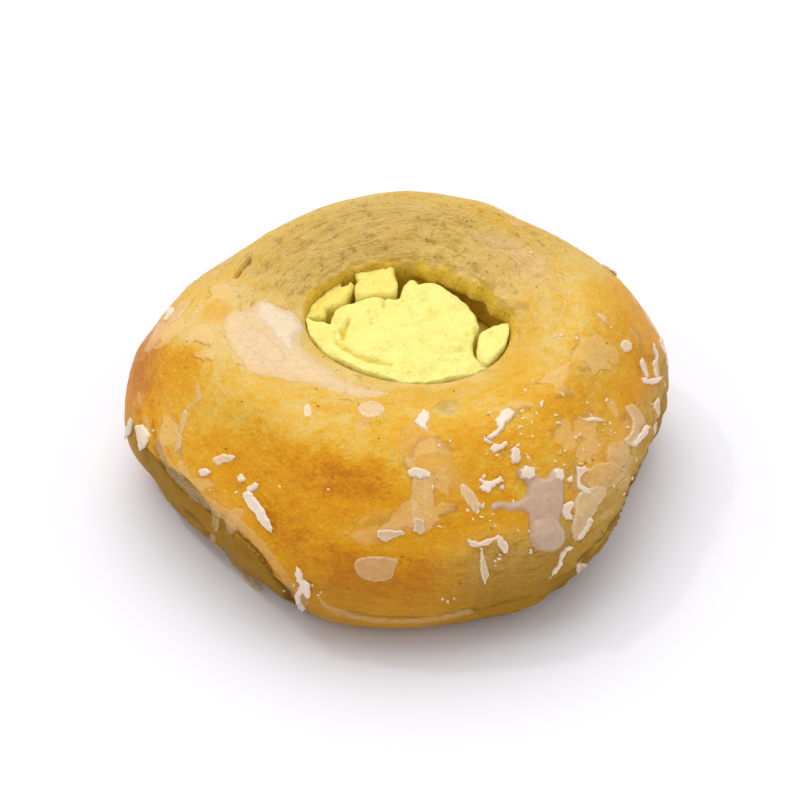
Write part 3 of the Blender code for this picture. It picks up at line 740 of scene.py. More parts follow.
class Shell:
    """Points, faces and one value a point of closed bodies under construction."""

    def __init__(self):
        self.points, self.faces, self.values = [], [], []

    def add(self, points, value=0.0):
        first = len(self.points)
        self.points += [tuple(p) for p in points]
        self.values += list(np.zeros(len(points)) + value)
        return first

    def wall(self, upper, lower, count):
        """Quads between two closed rings of points."""
        for k in range(count):
            beside = (k + 1) % count
            self.faces.append((upper + k, upper + beside, lower + beside, lower + k))

    def body(self, name, field, finish):
        """The finished mesh, with its faces turned outwards."""
        made = mesh_object(name, self.points, self.faces, {field: self.values})
        shape = bmesh.new()
        shape.from_mesh(made.data)
        bmesh.ops.recalc_face_normals(shape, faces=shape.faces)
        shape.to_mesh(made.data)
        shape.free()
        made.data.materials.append(finish)
        return made


def within_well(outline, margin):
    """A closed outline, whose stretches outside the well follow its wall at a margin instead."""
    off = outline - WELL_CENTRE
    bearing = np.arctan2(off[:, 1], off[:, 0])
    outside = np.hypot(off[:, 0], off[:, 1]) > well_radius(bearing) - margin
    begin = int(np.argmin(outside))
    order = np.roll(np.arange(len(outline)), -begin)
    bearing = np.unwrap(bearing[order])
    outline, outside = outline[order], outside[order]
    kept, k = [], 0
    while k < len(outline):
        end = k + 1
        if outside[k]:
            while end < len(outline) and outside[end]:
                end += 1
            arc = np.linspace(bearing[k], bearing[end - 1], end - k)
            reach = well_radius(arc) - margin
            kept.append(WELL_CENTRE + np.stack((reach * np.cos(arc), reach * np.sin(arc)), axis=-1))
        else:
            kept.append(outline[k:end])
        k = end
    return np.concatenate(kept)


def custard_top(places, top, depth):
    """Height of the broken, creamy top, rounded at its edge, and how deep each place lies in a crease."""
    solid = np.column_stack((places, np.full(len(places), top)))
    pixels = pixels_of(solid)
    swell = (0.55 * grain(solid, 4.5 * MM, 61) + 0.30 * grain(solid, 1.9 * MM, 62)
             + 0.15 * grain(solid, 0.8 * MM, 63)) * MM
    off = places - WELL_CENTRE
    wall = well_radius(np.arctan2(off[:, 1], off[:, 0])) - WALL_IN_AT_TOP
    to_wall = wall - np.hypot(off[:, 0], off[:, 1])
    edge = 0.7 * MM * (1.0 - smooth_step(depth / (0.9 * MM)) ** 0.5)
    edge = edge * smooth_step(to_wall / (1.4 * MM) - 0.2)
    sunk, deep = np.zeros(len(places)), np.zeros(len(places))
    for path, depth_mm in zip(CREASES, CREASE_DEPTH):
        apart = np.min([near_line(pixels, a, b)[0] for a, b in zip(path, path[1:])], axis=0)
        apart = apart + 0.9 * grain(solid, 0.9 * MM, 64)
        share = smooth_step(1.0 - apart / CREASE_WIDTH)
        sunk = np.maximum(sunk, depth_mm * MM * share)
        deep = np.maximum(deep, share * min(1.0, depth_mm))
    for across, down, size, depth_mm in DENTS:
        share = smooth_step(1.0 - np.hypot(pixels[:, 0] - across, pixels[:, 1] - down) / size)
        sunk = np.maximum(sunk, depth_mm * MM * share)
        deep = np.maximum(deep, share * min(1.0, 0.8 * depth_mm))
    middle = np.linalg.norm(places - WELL_CENTRE, axis=1) / WELL_RADIUS
    dome = CUSTARD_DOME * (1.0 - middle ** 2)
    return top + dome + swell - edge - sunk, np.clip(deep, 0.0, 1.0)


def custard_finish():
    """Baked custard: smooth, moist and pale yellow, with painted shade as deeper yellow and amber in its
    creases and cracks, down its sides and over the pieces that lie in shade.
    """
    finish, board = new_finish("baked custard")
    cream, yolk, amber_shade = (0.96, 0.87, 0.26, 1.0), (0.92, 0.70, 0.10, 1.0), (0.66, 0.36, 0.02, 1.0)
    mottle = board.speckle(3.2 * MM, 4.0)
    fine = board.speckle(0.9 * MM, 5.0, rough=0.7)
    deep = board.field("deep")
    colour = board.mix(board.rise(0.5 * mottle + 0.5 * fine, 0.44, 0.68) * 0.55, cream, yolk)
    crack = board.rise(board.cells(CRACK_SIZE, "DISTANCE_TO_EDGE", 5.0 * MM), 0.07, 0.0)
    crack = crack * board.rise(mottle, 0.50, 0.64)
    # Painted shade: cracks, creases, low sides and shaded pieces turn deeper yellow, the deepest amber.
    colour = board.mix(crack * 0.22, colour, yolk)
    colour = board.mix(board.rise(deep, 0.15, 0.7) * 0.8, colour, yolk)
    colour = board.mix(board.rise(deep, 0.75, 1.2), colour, amber_shade)
    crumbly = board.rise(board.cells(1.1 * MM), 0.5, 0.1)
    height = 0.4 * mottle + 0.7 * fine + 0.15 * crumbly - 0.22 * crack
    bumped = board.node("ShaderNodeBump", {}, {"Strength": 1.0, "Distance": CUSTARD_ROUGHNESS,
                                               "Height": height}, 0)
    shader = board.node("ShaderNodeBsdfPrincipled", {}, {
        "Base Color": colour, "Roughness": 0.42 + 0.15 * mottle, "Normal": bumped,
        "Subsurface Weight": 0.35, "Subsurface Radius": (1.0, 0.8, 0.25), "Subsurface Scale": 2.0 * MM,
        "Coat Weight": 0.1, "Coat Roughness": 0.3, "IOR": 1.40})
    board.node("ShaderNodeOutputMaterial", {}, {"Surface": shader})
    return finish


def custard_body(name, corners, top, shade, finish, bed=False):
    """A piece of custard with a broken top; the largest one stands on a bed that fills the well."""
    outline = within_well(evenly(at_level(corners, top), OUTLINE_STEP), WALL_IN_AT_TOP + CUSTARD_TOUCH)
    outline = evenly(outline, OUTLINE_STEP, rounded=False)
    level = np.column_stack((outline, np.zeros(len(outline))))
    ragged = np.stack([grain(level, 1.2 * MM, seed) for seed in (65, 66)], axis=-1)
    outline = outline + 0.10 * MM * ragged
    foot = SHELF_HEIGHT + SHELF_STEP if bed else LUMP_FOOT
    shell = Shell()
    places, triangles = fill([outline], TOP_STEP)
    height, deep = custard_top(places, top, np.maximum(depth_inside(places, [outline]), 0.0))
    count = len(outline)
    # The top's shade value is its crease share or the piece's painted shade, whichever is more.
    first = shell.add(np.column_stack((places, height)), np.maximum(deep, shade))
    shell.faces += [(first + a, first + b, first + c) for a, b, c in triangles.tolist()]
    upper = first
    edge_height = height[:count]
    off = outline - outline.mean(axis=0)
    off = off / np.linalg.norm(off, axis=1, keepdims=True)
    for share in (0.2, 0.45, 0.7, 1.0):
        levels = edge_height + (foot - edge_height) * share
        solid = np.column_stack((outline, levels))
        push = 0.22 * MM * grain(solid, 1.1 * MM, 66) * (share < 1.0)
        drawn_in = 0.15 * MM * share + np.maximum(push, 0)
        ring = np.column_stack((outline - drawn_in[:, None] * off, levels))
        # Painted shade down the sides, deepest at the foot.
        lower = shell.add(ring, 0.35 + 0.65 * share)
        shell.wall(upper, lower, count)
        upper = lower
    last = np.array(shell.points[upper:upper + count])[:, :2]
    if not bed:
        _, under = fill([last], NO_GRID)
        shell.faces += [(upper + a, upper + b, upper + c) for a, b, c in under.tolist()]
        return shell.body(name, "deep", finish)
    bearing = np.linspace(0.0, 2 * math.pi, BED_SIDES, endpoint=False)
    around = np.stack((np.cos(bearing), np.sin(bearing)), axis=-1)
    floor = WELL_FLOOR + CUSTARD_GAP
    rim = WELL_CENTRE + around * (well_radius(bearing) - WALL_IN_AT_TOP - 0.05 * MM)[:, None]
    shelf_places, shelf_faces = fill([rim, last], SHELF_GRID)
    inner = shelf_places[BED_SIDES + count:]
    # The bed's shelf and walls carry full painted shade, amber.
    rim_first = shell.add(np.column_stack((rim, np.full(BED_SIDES, SHELF_HEIGHT))), 1.0)
    inner_first = shell.add(np.column_stack((inner, np.full(len(inner), SHELF_HEIGHT))), 1.0)

    def moved(index):
        if index < BED_SIDES:
            return rim_first + index
        if index < BED_SIDES + count:
            return upper + index - BED_SIDES
        return inner_first + index - BED_SIDES - count

    shell.faces += [tuple(moved(k) for k in triangle) for triangle in shelf_faces.tolist()]
    upper = rim_first
    for wall_in, level in ((WALL_IN_ABOVE_FLOOR, floor + FLOOR_ROUND), (WALL_IN_AT_FLOOR, floor)):
        ring = WELL_CENTRE + around * (well_radius(bearing) - wall_in - CUSTARD_GAP)[:, None]
        lower = shell.add(np.column_stack((ring, np.full(BED_SIDES, level))), 1.0)
        shell.wall(upper, lower, BED_SIDES)
        upper = lower
    pole = shell.add([(*WELL_CENTRE, floor)], 1.0)
    shell.faces += [(pole, upper + k, upper + (k + 1) % BED_SIDES) for k in range(BED_SIDES)]
    return shell.body(name, "deep", finish)


custard_cream = custard_finish()
# Each piece: name, part in model.glb, outline, top height, painted shade of its top, whether it stands on
# the bed.
for name, node_name, corners, top, shade, bed in (
        ("custard_main", "custard", MAIN_OUTLINE, CUSTARD_TOP, 0.0, True),
        ("custard_left_slab", "custard_left", LEFT_OUTLINE, LEFT_TOP, 0.50, False),
        ("custard_back_block", "custard_back", BACK_OUTLINE, BACK_TOP, 0.40, False),
        ("custard_right_lump", "custard_crumb", CRUMB_OUTLINE, CRUMB_TOP, 0.0, False)):
    piece = custard_body(name, corners, top, shade, custard_cream, bed)
    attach(piece, "root")
    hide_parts(node_name)

# The icing: thin water icing brushed on warm, so it ran down the sides and dried to clear films, cracked
# flakes and a few white drops. It lies on the crust in patches whose outlines are read from the picture.
FILM_SUNK = 0.35 * MM
# Widths and steps of the icing's outlines are in pixels, thicknesses in mm
ICING_STEP = 1.5
FLAKE_CORNER_STEP = 0.8
FLAKE_STEP = 1.1
FLAKE_EDGE = 1.2
# Outline, thickness in mm, body (0 clear, 1 white), width of the rounded edge in pixels, roughness of the
# outline in pixels, whether the surface is smooth
FILMS = (
    (((225, 315), (238, 309), (250, 308), (262, 299), (275, 303), (290, 310), (302, 319), (306, 331),
      (303, 343), (316, 358), (334, 371), (352, 383), (374, 389), (392, 393), (372, 399), (345, 395),
      (312, 385), (282, 380), (252, 372), (234, 352), (224, 332)), 0.34, 0.60, 11, 1.2, True),
    (((262, 301), (275, 304), (290, 311), (301, 320), (304, 332), (296, 341), (300, 352), (288, 356),
      (276, 344), (266, 330), (256, 322), (254, 310)), 0.50, 0.72, 9, 1.0, True),
    (((239, 338), (245, 330), (257, 329), (269, 337), (283, 351), (287, 364), (272, 365), (256, 358),
      (244, 349)), 0.56, 0.60, 5, 0.5, True),
    (((358, 407), (364, 402), (373, 401), (382, 404), (385, 410), (380, 416), (370, 418), (361, 415)),
      0.30, 0.58, 3, 0.3, True),
    (((304, 405), (309, 404), (312, 409), (311, 417), (306, 418), (303, 412)), 0.30, 0.70, 2, 0.4, True),
    (((356, 421), (366, 420), (370, 427), (362, 432), (354, 428)), 0.22, 0.34, 3, 0.6, True),
    (((424, 415), (436, 432), (448, 452), (458, 470), (467, 484), (464, 492), (450, 487), (436, 482),
      (420, 480), (404, 462), (398, 442), (406, 424)), 0.16, 0.20, 2, 1.0, False),
    (((461, 484), (468, 486), (476, 496), (480, 507), (475, 513), (468, 505), (461, 494)), 0.35, 0.56, 3,
      0.5, True),
    (((356, 560), (370, 556), (385, 557), (398, 559), (395, 570), (391, 578), (378, 582), (363, 579),
      (355, 570)), 0.22, 0.42, 2, 0.6, False),
    (((350, 535), (372, 528), (398, 521), (424, 517), (440, 519), (430, 528), (404, 534), (384, 541),
      (362, 545)), 0.22, 0.26, 6, 1.5, False),
    (((413, 480), (418, 478), (418, 500), (421, 515), (419, 531), (413, 528), (411, 505)), 0.28, 0.44, 3,
      0.7, True),
    (((424, 478), (429, 480), (429, 500), (426, 514), (422, 500)), 0.24, 0.40, 2, 0.6, True),
    (((160, 436), (167, 455), (178, 470), (192, 484), (205, 495), (221, 504), (242, 520), (264, 542),
      (282, 566), (300, 590), (310, 603), (302, 604), (284, 582), (262, 554), (240, 533), (216, 515),
      (200, 504), (186, 492), (171, 476), (160, 458), (154, 440)), 0.26, 0.27, 3, 0.8, True),
    (((212, 508), (219, 511), (219, 526), (216, 541), (210, 538), (212, 522)), 0.26, 0.34, 2, 0.5, True),
    (((229, 512), (241, 508), (244, 514), (238, 524), (232, 535), (226, 530)), 0.26, 0.32, 2, 0.5, True),
    (((183, 411), (188, 413), (186, 424), (183, 436), (181, 448), (175, 453), (175, 444), (179, 430)),
      0.26, 0.44, 2, 0.8, True),
    (((214, 458), (224, 455), (234, 457), (232, 462), (222, 464), (216, 466)), 0.34, 0.62, 2, 1.2,
      False),
    (((196, 380), (202, 392), (199, 402), (190, 411), (186, 408), (194, 399), (195, 390)), 0.22, 0.32, 2,
      0.8, True),
    (((486, 236), (504, 235), (526, 242), (520, 249), (500, 250), (486, 244)), 0.26, 0.34, 5, 1.0,
      False),
    (((506, 258), (524, 256), (546, 270), (562, 290), (548, 288), (526, 276)), 0.26, 0.26, 6, 1.2,
      False),
    (((590, 468), (601, 462), (615, 463), (626, 470), (622, 480), (610, 487), (598, 492), (589, 489),
      (585, 477)), 0.26, 0.36, 2, 0.8, False),
    (((575, 498), (584, 490), (596, 487), (607, 489), (600, 505), (590, 520), (581, 533), (576, 541),
      (571, 530), (574, 515)), 0.28, 0.52, 2, 0.9, False),
    (((624, 407), (632, 404), (640, 411), (645, 424), (643, 436), (637, 446), (629, 446), (624, 440),
      (631, 431), (632, 420), (627, 413)), 0.34, 0.50, 2, 0.5, True),
    (((609, 444), (618, 442), (629, 447), (628, 458), (620, 468), (612, 470), (607, 458)), 0.24, 0.34, 2,
      0.7, False),
    (((596, 312), (604, 316), (610, 324), (603, 322)), 0.22, 0.50, 2, 0.4, True),
    (((623, 340), (630, 342), (632, 349), (626, 352), (621, 347)), 0.28, 0.66, 2, 0.5, True),
    (((140, 392), (146, 410), (150, 430), (146, 432), (140, 412), (137, 396)), 0.20, 0.30, 3, 0.5, True),
    (((318, 596), (328, 604), (350, 612), (378, 618), (410, 619), (440, 616), (470, 610), (470, 614),
      (440, 621), (408, 624), (376, 623), (348, 618), (326, 610)), 0.20, 0.28, 2, 0.6, True),
)
# The same, then where the flake curls up: from, to, and how far in mm
FLAKES = (
    (((418, 416), (424, 411), (431, 414), (430, 420), (426, 424), (429, 432), (421, 428), (415, 423)),
      0.42, 0.95, (430, 424), (414, 414), 0.5),
    (((500, 413), (508, 410), (514, 413), (512, 419), (507, 423), (504, 430), (498, 436), (490, 440),
      (486, 437), (493, 432), (497, 427), (496, 420)), 0.50, 1.0, (498, 430), (514, 410), 0.5),
    (((483, 436), (486, 438), (491, 441), (495, 440), (491, 443), (485, 442)), 0.40, 0.9, (495, 442),
      (483, 436), 0.3),
    (((511, 450), (515, 446), (519, 450), (521, 457), (518, 464), (513, 465), (510, 459)), 0.50, 0.80,
      (512, 464), (520, 448), 0.4),
    (((489, 449), (494, 443), (499, 445), (506, 442), (507, 447), (499, 450), (493, 453)), 0.42, 0.90,
      (490, 450), (506, 443), 0.9),
    (((480, 479), (486, 481), (493, 480), (500, 477), (503, 481), (497, 484), (492, 489), (488, 493),
      (482, 492), (479, 487), (483, 484), (478, 481)), 0.42, 0.95, (484, 490), (503, 478), 0.5),
    (((500, 484), (504, 485), (504, 489), (500, 489)), 0.40, 0.8, (500, 489), (504, 484), 0.2),
    (((408, 470), (416, 467), (424, 469), (431, 472), (430, 477), (424, 476), (421, 480), (418, 477),
      (410, 477)), 0.38, 0.80, (420, 478), (408, 468), 0.3),
    (((414, 518), (424, 520), (426, 530), (420, 535), (413, 530)), 0.34, 0.55, (420, 520), (420, 534),
      0.2),
    (((378, 531), (388, 529), (402, 531), (407, 534), (395, 538), (386, 542), (380, 540), (376, 536)),
      0.36, 0.60, (395, 530), (380, 541), 0.3),
    (((465, 538), (472, 541), (481, 541), (489, 538), (496, 533), (498, 537), (490, 544), (480, 547),
      (470, 546)), 0.42, 0.80, (480, 546), (480, 538), 0.7),
    (((498, 536), (503, 537), (508, 545), (506, 552), (502, 553), (497, 545)), 0.46, 0.75, (500, 537),
      (507, 551), 0.5),
    (((479, 546), (483, 548), (485, 562), (489, 574), (485, 583), (481, 577), (480, 562)), 0.40, 0.62,
      (481, 550), (486, 580), 0.2),
    (((575, 468), (583, 466), (590, 471), (582, 474), (580, 482), (588, 489), (592, 494), (584, 494),
      (577, 486)), 0.36, 0.80, (582, 480), (574, 470), 0.7),
    (((628, 444), (634, 440), (640, 432), (643, 424), (647, 427), (643, 438), (636, 447)), 0.34, 0.85,
      (632, 446), (646, 426), 0.8),
    (((562, 504), (570, 500), (574, 505), (569, 512), (575, 520), (566, 521), (561, 514)), 0.36, 0.80,
      (566, 520), (572, 501), 0.5),
    (((577, 536), (583, 527), (588, 517), (592, 519), (588, 531), (580, 541)), 0.30, 0.70, (580, 540),
      (592, 518), 0.4),
    (((573, 546), (566, 552), (563, 562), (557, 572), (549, 580), (553, 572), (558, 563), (561, 553),
      (568, 546)), 0.42, 0.90, (560, 560), (573, 546), 0.4),
    (((576, 564), (584, 561), (588, 567), (584, 573), (577, 573)), 0.30, 0.62, (578, 572), (588, 563),
      0.4),
    (((243, 494), (249, 491), (256, 498), (263, 506), (271, 518), (275, 529), (271, 534), (262, 525),
      (254, 513), (246, 504)), 0.55, 0.92, (250, 508), (262, 502), 0.6),
    (((248, 486), (254, 483), (261, 484), (258, 489), (252, 492), (247, 491)), 0.40, 0.85, (250, 490),
      (260, 484), 0.4),
    (((197, 470), (206, 468), (211, 472), (207, 476), (200, 477)), 0.38, 0.80, (200, 476), (210, 469),
      0.3),
    (((238, 476), (243, 474), (246, 479), (241, 482), (237, 480)), 0.42, 0.9, (240, 482), (244, 475),
      0.2),
    (((295, 567), (300, 569), (304, 578), (310, 582), (313, 590), (308, 598), (303, 592), (301, 600),
      (307, 611), (303, 615), (297, 604), (295, 594), (299, 586), (296, 576)), 0.48, 1.0, (300, 590),
      (312, 588), 0.5),
    (((136, 425), (143, 424), (149, 429), (151, 437), (148, 447), (142, 451), (140, 442), (136, 434)),
      0.45, 0.85, (142, 430), (145, 450), 0.5),
    (((130, 416), (133, 424), (131, 434), (127, 440), (126, 430)), 0.40, 0.75, (131, 418), (127, 438),
      0.6),
    (((640, 377), (648, 379), (657, 378), (662, 375), (660, 381), (652, 385), (643, 383)), 0.34, 0.75,
      (642, 380), (662, 376), 0.5),
    (((584, 418), (594, 417), (606, 420), (598, 422), (586, 421)), 0.34, 0.85, (586, 420), (606, 419),
      0.3),
    (((539, 402), (544, 401), (545, 406), (541, 408)), 0.36, 0.80, (540, 407), (544, 402), 0.2),
    (((566, 478), (571, 476), (572, 481), (568, 484)), 0.36, 0.75, (568, 483), (571, 477), 0.2),
    (((519, 471), (524, 466), (531, 466), (535, 471), (534, 477), (527, 481), (520, 478)), 1.02, 0.9,
      (520, 478), (530, 467), 0.1),
    (((551, 472), (556, 468), (561, 471), (562, 479), (558, 483), (553, 480)), 1.02, 0.85, (553, 480),
      (558, 470), 0.1),
    (((206, 545), (216, 556), (226, 566), (238, 577), (250, 588), (258, 600), (246, 602), (234, 592),
      (222, 580), (213, 566), (207, 555)), 0.30, 0.34, (240, 562), (226, 592), 1.6),
    (((478, 506), (482, 502), (486, 505), (483, 510)), 0.34, 0.55, (480, 508), (485, 503), 0.2),
)
# Drops that ran together into one: centre, half length and half width in pixels, height in mm
DROP_OUTLINE = (
    (517, 471), (522, 466), (529, 465), (535, 469), (539, 476), (545, 478), (549, 473), (553, 468),
    (559, 467), (563, 472), (564, 490), (564, 505), (561, 516), (560, 522), (565, 530), (565, 541),
    (559, 549), (549, 552), (539, 551), (532, 546), (529, 537), (530, 525), (528, 515), (522, 510),
    (508, 512), (502, 508), (492, 512), (491, 504), (500, 501), (514, 502), (524, 497), (527, 488),
    (524, 482), (518, 478),
)
DROP_HEAPS = (
    (546, 496, 20, 30, 0.95), (547, 535, 20, 19, 1.35), (527, 473, 11, 9, 0.85), (557, 482, 9, 18, 0.95),
    (497, 507, 7, 5, 0.6), (514, 506, 12, 5, 0.4),
)

form_points, form_out = poled(skin_form), poled(skin_out)
form_faces = grid_faces(len(ways), SKIN_COLUMNS)
skin_tree = BVHTree.FromPolygons([tuple(p) for p in poled(skin_points)], form_faces)
form_tree = BVHTree.FromPolygons([tuple(p) for p in form_points], form_faces)


def smooth_normal(place, face):
    """The skin's outward direction at a place, blended from the corners of the face that it lies on."""
    corners = list(form_faces[face])
    nearness = 1.0 / (np.linalg.norm(form_points[corners] - place, axis=1) + 0.02 * MM)
    normal = nearness @ form_out[corners]
    return normal / np.linalg.norm(normal)


def under_pixels(pixels, smooth):
    """Places on the crust under pixels, or nearest to sight lines that miss it, with outward directions."""
    places, normals = [], []
    for line in sight_lines(pixels):
        start, ray = Vector(EYE), Vector(line)
        place, _, face, _ = (form_tree if smooth else skin_tree).ray_cast(start, ray)
        if place is None:
            place = start + EYE_DISTANCE * ray
            for _ in range(4):
                place = start + (form_tree.find_nearest(place)[0] - start).project(ray)
            place, _, face, _ = form_tree.find_nearest(place)
        places.append(place)
        normals.append(smooth_normal(np.array(place), face))
    return np.array(places), np.array(normals)


def lay_icing(shell, outline, where, thickness, body, edge, step=ICING_STEP, lift=None):
    """Add a patch of icing to a shell: a top with a rounded edge, over a base sunk into the crust."""
    places, triangles = fill([outline], step)
    depth = np.maximum(depth_inside(places, [outline]), 0.0)
    depth[:len(outline)] = 0.0
    points, normals = where(places)
    uneven_top = 1.0 + 0.22 * grain(points, 1.6 * MM, 71) + 0.10 * grain(points, 0.7 * MM, 72)
    share = smooth_step(depth / edge) ** 0.5
    tall = thickness(places) if callable(thickness) else thickness * MM
    rise = np.zeros(len(places))
    if lift:
        start, end, height = lift
        run_on = np.subtract(end, start).astype(float)
        rise = height * MM * np.clip(((places - start) @ run_on) / (run_on @ run_on), 0.0, 1.3) ** 2
    top = points + normals * (tall * uneven_top * share + rise)[:, None]
    base = points + normals * (rise - FILM_SUNK * (1.0 - smooth_step(rise / (0.4 * MM))))[:, None]
    for side in (top, base):
        side[:, 2] = np.maximum(side[:, 2], 0.02 * MM)
    ridge = np.exp(-((depth - 0.8) / 0.9) ** 2) * (edge <= 3)
    thick_share = np.clip(body * (0.84 + 0.16 * share + 0.45 * ridge), 0.0, 1.0)
    upper = shell.add(top, thick_share)
    lower = shell.add(base, thick_share)
    for a, b, c in triangles.tolist():
        shell.faces.append((upper + a, upper + b, upper + c))
        shell.faces.append((lower + c, lower + b, lower + a))
    shell.wall(upper, lower, len(outline))


def crosses(outline):
    """Whether a closed outline crosses itself."""
    starts, ends = outline[:, None], np.roll(outline, -1, axis=0)[:, None]

    def side(a, b, c):
        return np.sign((b - a)[..., 0] * (c - a)[..., 1] - (b - a)[..., 1] * (c - a)[..., 0])

    others, after = starts.swapaxes(0, 1), ends.swapaxes(0, 1)
    met = (side(starts, ends, others) * side(starts, ends, after) < 0) \
        & (side(others, after, starts) * side(others, after, ends) < 0)
    return met.any()


def worn(outline, amount, seed):
    """An outline moved about by noise, as where brittle icing broke or wet icing crept."""
    flat = np.column_stack((outline, np.zeros(len(outline))))
    move = [grain(flat, 5.0, seed + k) + 0.8 * grain(flat, 2.2, seed + k) for k in (0, 1)]
    move = np.stack(move, axis=-1)
    while crosses(outline + amount * move):
        amount *= 0.6
    return outline + amount * move


def icing_finish(name, clear, white, tan, chalk, roughness):
    """Dried icing: clear and glossy where thin, chalky white where thick or cracked off."""
    finish, board = new_finish(name)
    body = board.field("body")
    mottle = board.speckle(1.1 * MM, 3.0, rough=0.6)
    fine = board.speckle(0.35 * MM, 2.0)
    colour = board.mix(board.rise(body + 0.25 * (mottle - 0.5), 0.3, 1.0), tan, chalk)
    cover = board.rise(body + 0.24 * (mottle - 0.5) + 0.04 * (fine - 0.5), clear, white)
    bumped = board.node("ShaderNodeBump", {}, {"Strength": 0.35, "Distance": 0.12 * MM,
                                               "Height": 0.6 * mottle + 0.4 * fine}, 0)
    shader = board.node("ShaderNodeBsdfPrincipled", {}, {
        "Base Color": colour, "Roughness": roughness + 0.12 * mottle, "Alpha": cover, "Normal": bumped,
        "Subsurface Weight": 0.2, "Subsurface Radius": (1.0, 0.7, 0.5), "Subsurface Scale": 0.8 * MM,
        "Specular IOR Level": 0.4, "IOR": 1.45})
    board.node("ShaderNodeOutputMaterial", {}, {"Surface": shader})
    return finish


film_finish = icing_finish("clear dried icing", -0.05, 1.10, (0.94, 0.66, 0.30, 1.0),
                           (0.96, 0.80, 0.62, 1.0), 0.28)
chalk_finish = icing_finish("cracked white icing", -0.1, 1.0, (0.80, 0.54, 0.24, 1.0),
                            (0.82, 0.66, 0.52, 1.0), 0.42)
films, flakes, drops = Shell(), Shell(), Shell()
for number, (corners, thickness, body, edge, rough, smooth) in enumerate(FILMS):
    outline = worn(evenly(corners, ICING_STEP), rough, 100 + 4 * number)
    lay_icing(films, outline, lambda pixels: under_pixels(pixels, smooth), thickness, body, edge)
for number, (corners, thickness, body, start, end, height) in enumerate(FLAKES):
    outline = worn(evenly(corners, FLAKE_CORNER_STEP, rounded=False), 1.0, 300 + 4 * number)
    lay_icing(flakes, outline, lambda pixels: under_pixels(pixels, False), thickness, body, FLAKE_EDGE,
              FLAKE_STEP, (start, end, height))


# Slivers on the right edge: bearing, way out from the well, turn, length and width in mm
EDGE_FLAKES = (
    (355, 8.55, 70, 4.4, 2.0), (358, 8.8, 35, 5.0, 2.2), (3, 8.7, 80, 3.6, 2.2),
    (350, 9.1, 60, 3.8, 2.4), (9, 9.0, 20, 4.6, 2.4), (345, 9.3, 85, 3.2, 1.8),
)
EDGE_FLAKE_THICKNESS = 0.38
FAR_FLAKES = 9
FAR_FLAKE_THICKNESS = 0.42
FAR_FILMS = 9
FAR_FILM_EDGE = 3
FAR_DRIPS = 5
FAR_DRIP_THICKNESS = 0.35
FAR_DRIP_EDGE = 4
PIXELS_A_MM = 5.2


def on_far_side(bearing, way, turn):
    """A function that lays outlines of the picture's scale round a place that it doesn't show."""
    middle = bun_form(np.array([math.radians(bearing)]), np.array([way]))[0][0]
    place, _, face, _ = skin_tree.find_nearest(Vector(middle))
    outward_there = Vector(smooth_normal(np.array(place), face))
    across = Vector((0.0, 0.0, 1.0)).cross(outward_there).normalized()
    across.rotate(Matrix.Rotation(math.radians(turn), 3, outward_there))
    up = outward_there.cross(across)

    def where(flat):
        places, normals = [], []
        for right, down in (flat / PIXELS_A_MM * MM).tolist():
            there, _, its_face, _ = skin_tree.find_nearest(place + right * across - down * up)
            places.append(there)
            normals.append(smooth_normal(np.array(there), its_face))
        return np.array(places), np.array(normals)

    return where


def chipped(draw, length, width, corners):
    """Corners of a broken-off shape of about the given length and width in mm, in the picture's scale."""
    ring = []
    for corner in range(corners):
        angle = 2 * math.pi * (corner + draw.uniform(-0.3, 0.3)) / corners
        reach = draw.uniform(0.75, 1.1) * PIXELS_A_MM / 2
        ring.append((length * reach * math.cos(angle), width * reach * math.sin(angle)))
    return ring


draw = random.Random(7)
far_flakes = [(draw.uniform(15, 175), draw.uniform(8.0, 9.7), draw.uniform(0, 180), draw.uniform(3.0, 6.5),
               draw.uniform(1.8, 3.6)) for _ in range(FAR_FLAKES)]
for number, (bearing, way, turn, length, width) in enumerate(far_flakes):
    corners = evenly(chipped(draw, length, width, 9), FLAKE_CORNER_STEP, rounded=False)
    outline = worn(corners, 1.0, 600 + 4 * number)
    lift = ((0, width * 2), (0, -width * 3), draw.uniform(0.2, 0.6))
    lay_icing(flakes, outline, on_far_side(bearing, way, turn), FAR_FLAKE_THICKNESS,
              draw.uniform(0.7, 1.0), FLAKE_EDGE, FLAKE_STEP, lift)
for number, (bearing, way, turn, length, width) in enumerate(EDGE_FLAKES):
    corners = evenly(chipped(draw, length, width, 8), FLAKE_CORNER_STEP, rounded=False)
    outline = worn(corners, 0.9, 660 + 4 * number)
    lift = ((0, 0), (length * 2.6, 0), 0.7)
    lay_icing(flakes, outline, on_far_side(bearing, way, turn), EDGE_FLAKE_THICKNESS,
              draw.uniform(0.6, 0.9), FLAKE_EDGE, FLAKE_STEP, lift)
for number in range(FAR_FILMS):
    outline = worn(evenly(chipped(draw, draw.uniform(5, 12), draw.uniform(3, 7), 8), ICING_STEP), 1.0,
                   700 + 4 * number)
    where = on_far_side(draw.uniform(5, 175), draw.uniform(6.8, 9.8), draw.uniform(0, 180))
    lay_icing(films, outline, where, draw.uniform(0.15, 0.3), draw.uniform(0.25, 0.55), FAR_FILM_EDGE)
for number in range(FAR_DRIPS):
    length, width = draw.uniform(4, 14), draw.uniform(1.0, 2.4)
    corners = [(-width * 3, -length * 2.6), (width * 3, -length * 2.6), (width * 2, 0),
               (width * 3.4, length * 2), (0, length * 2.8), (-width * 3.4, length * 2), (-width * 2, 0)]
    outline = worn(evenly(corners, ICING_STEP), 0.8, 800 + 4 * number)
    where = on_far_side(draw.uniform(8, 172), draw.uniform(8.4, 9.4), draw.uniform(-16, 16))
    lay_icing(films, outline, where, FAR_DRIP_THICKNESS, draw.uniform(0.3, 0.55), FAR_DRIP_EDGE)


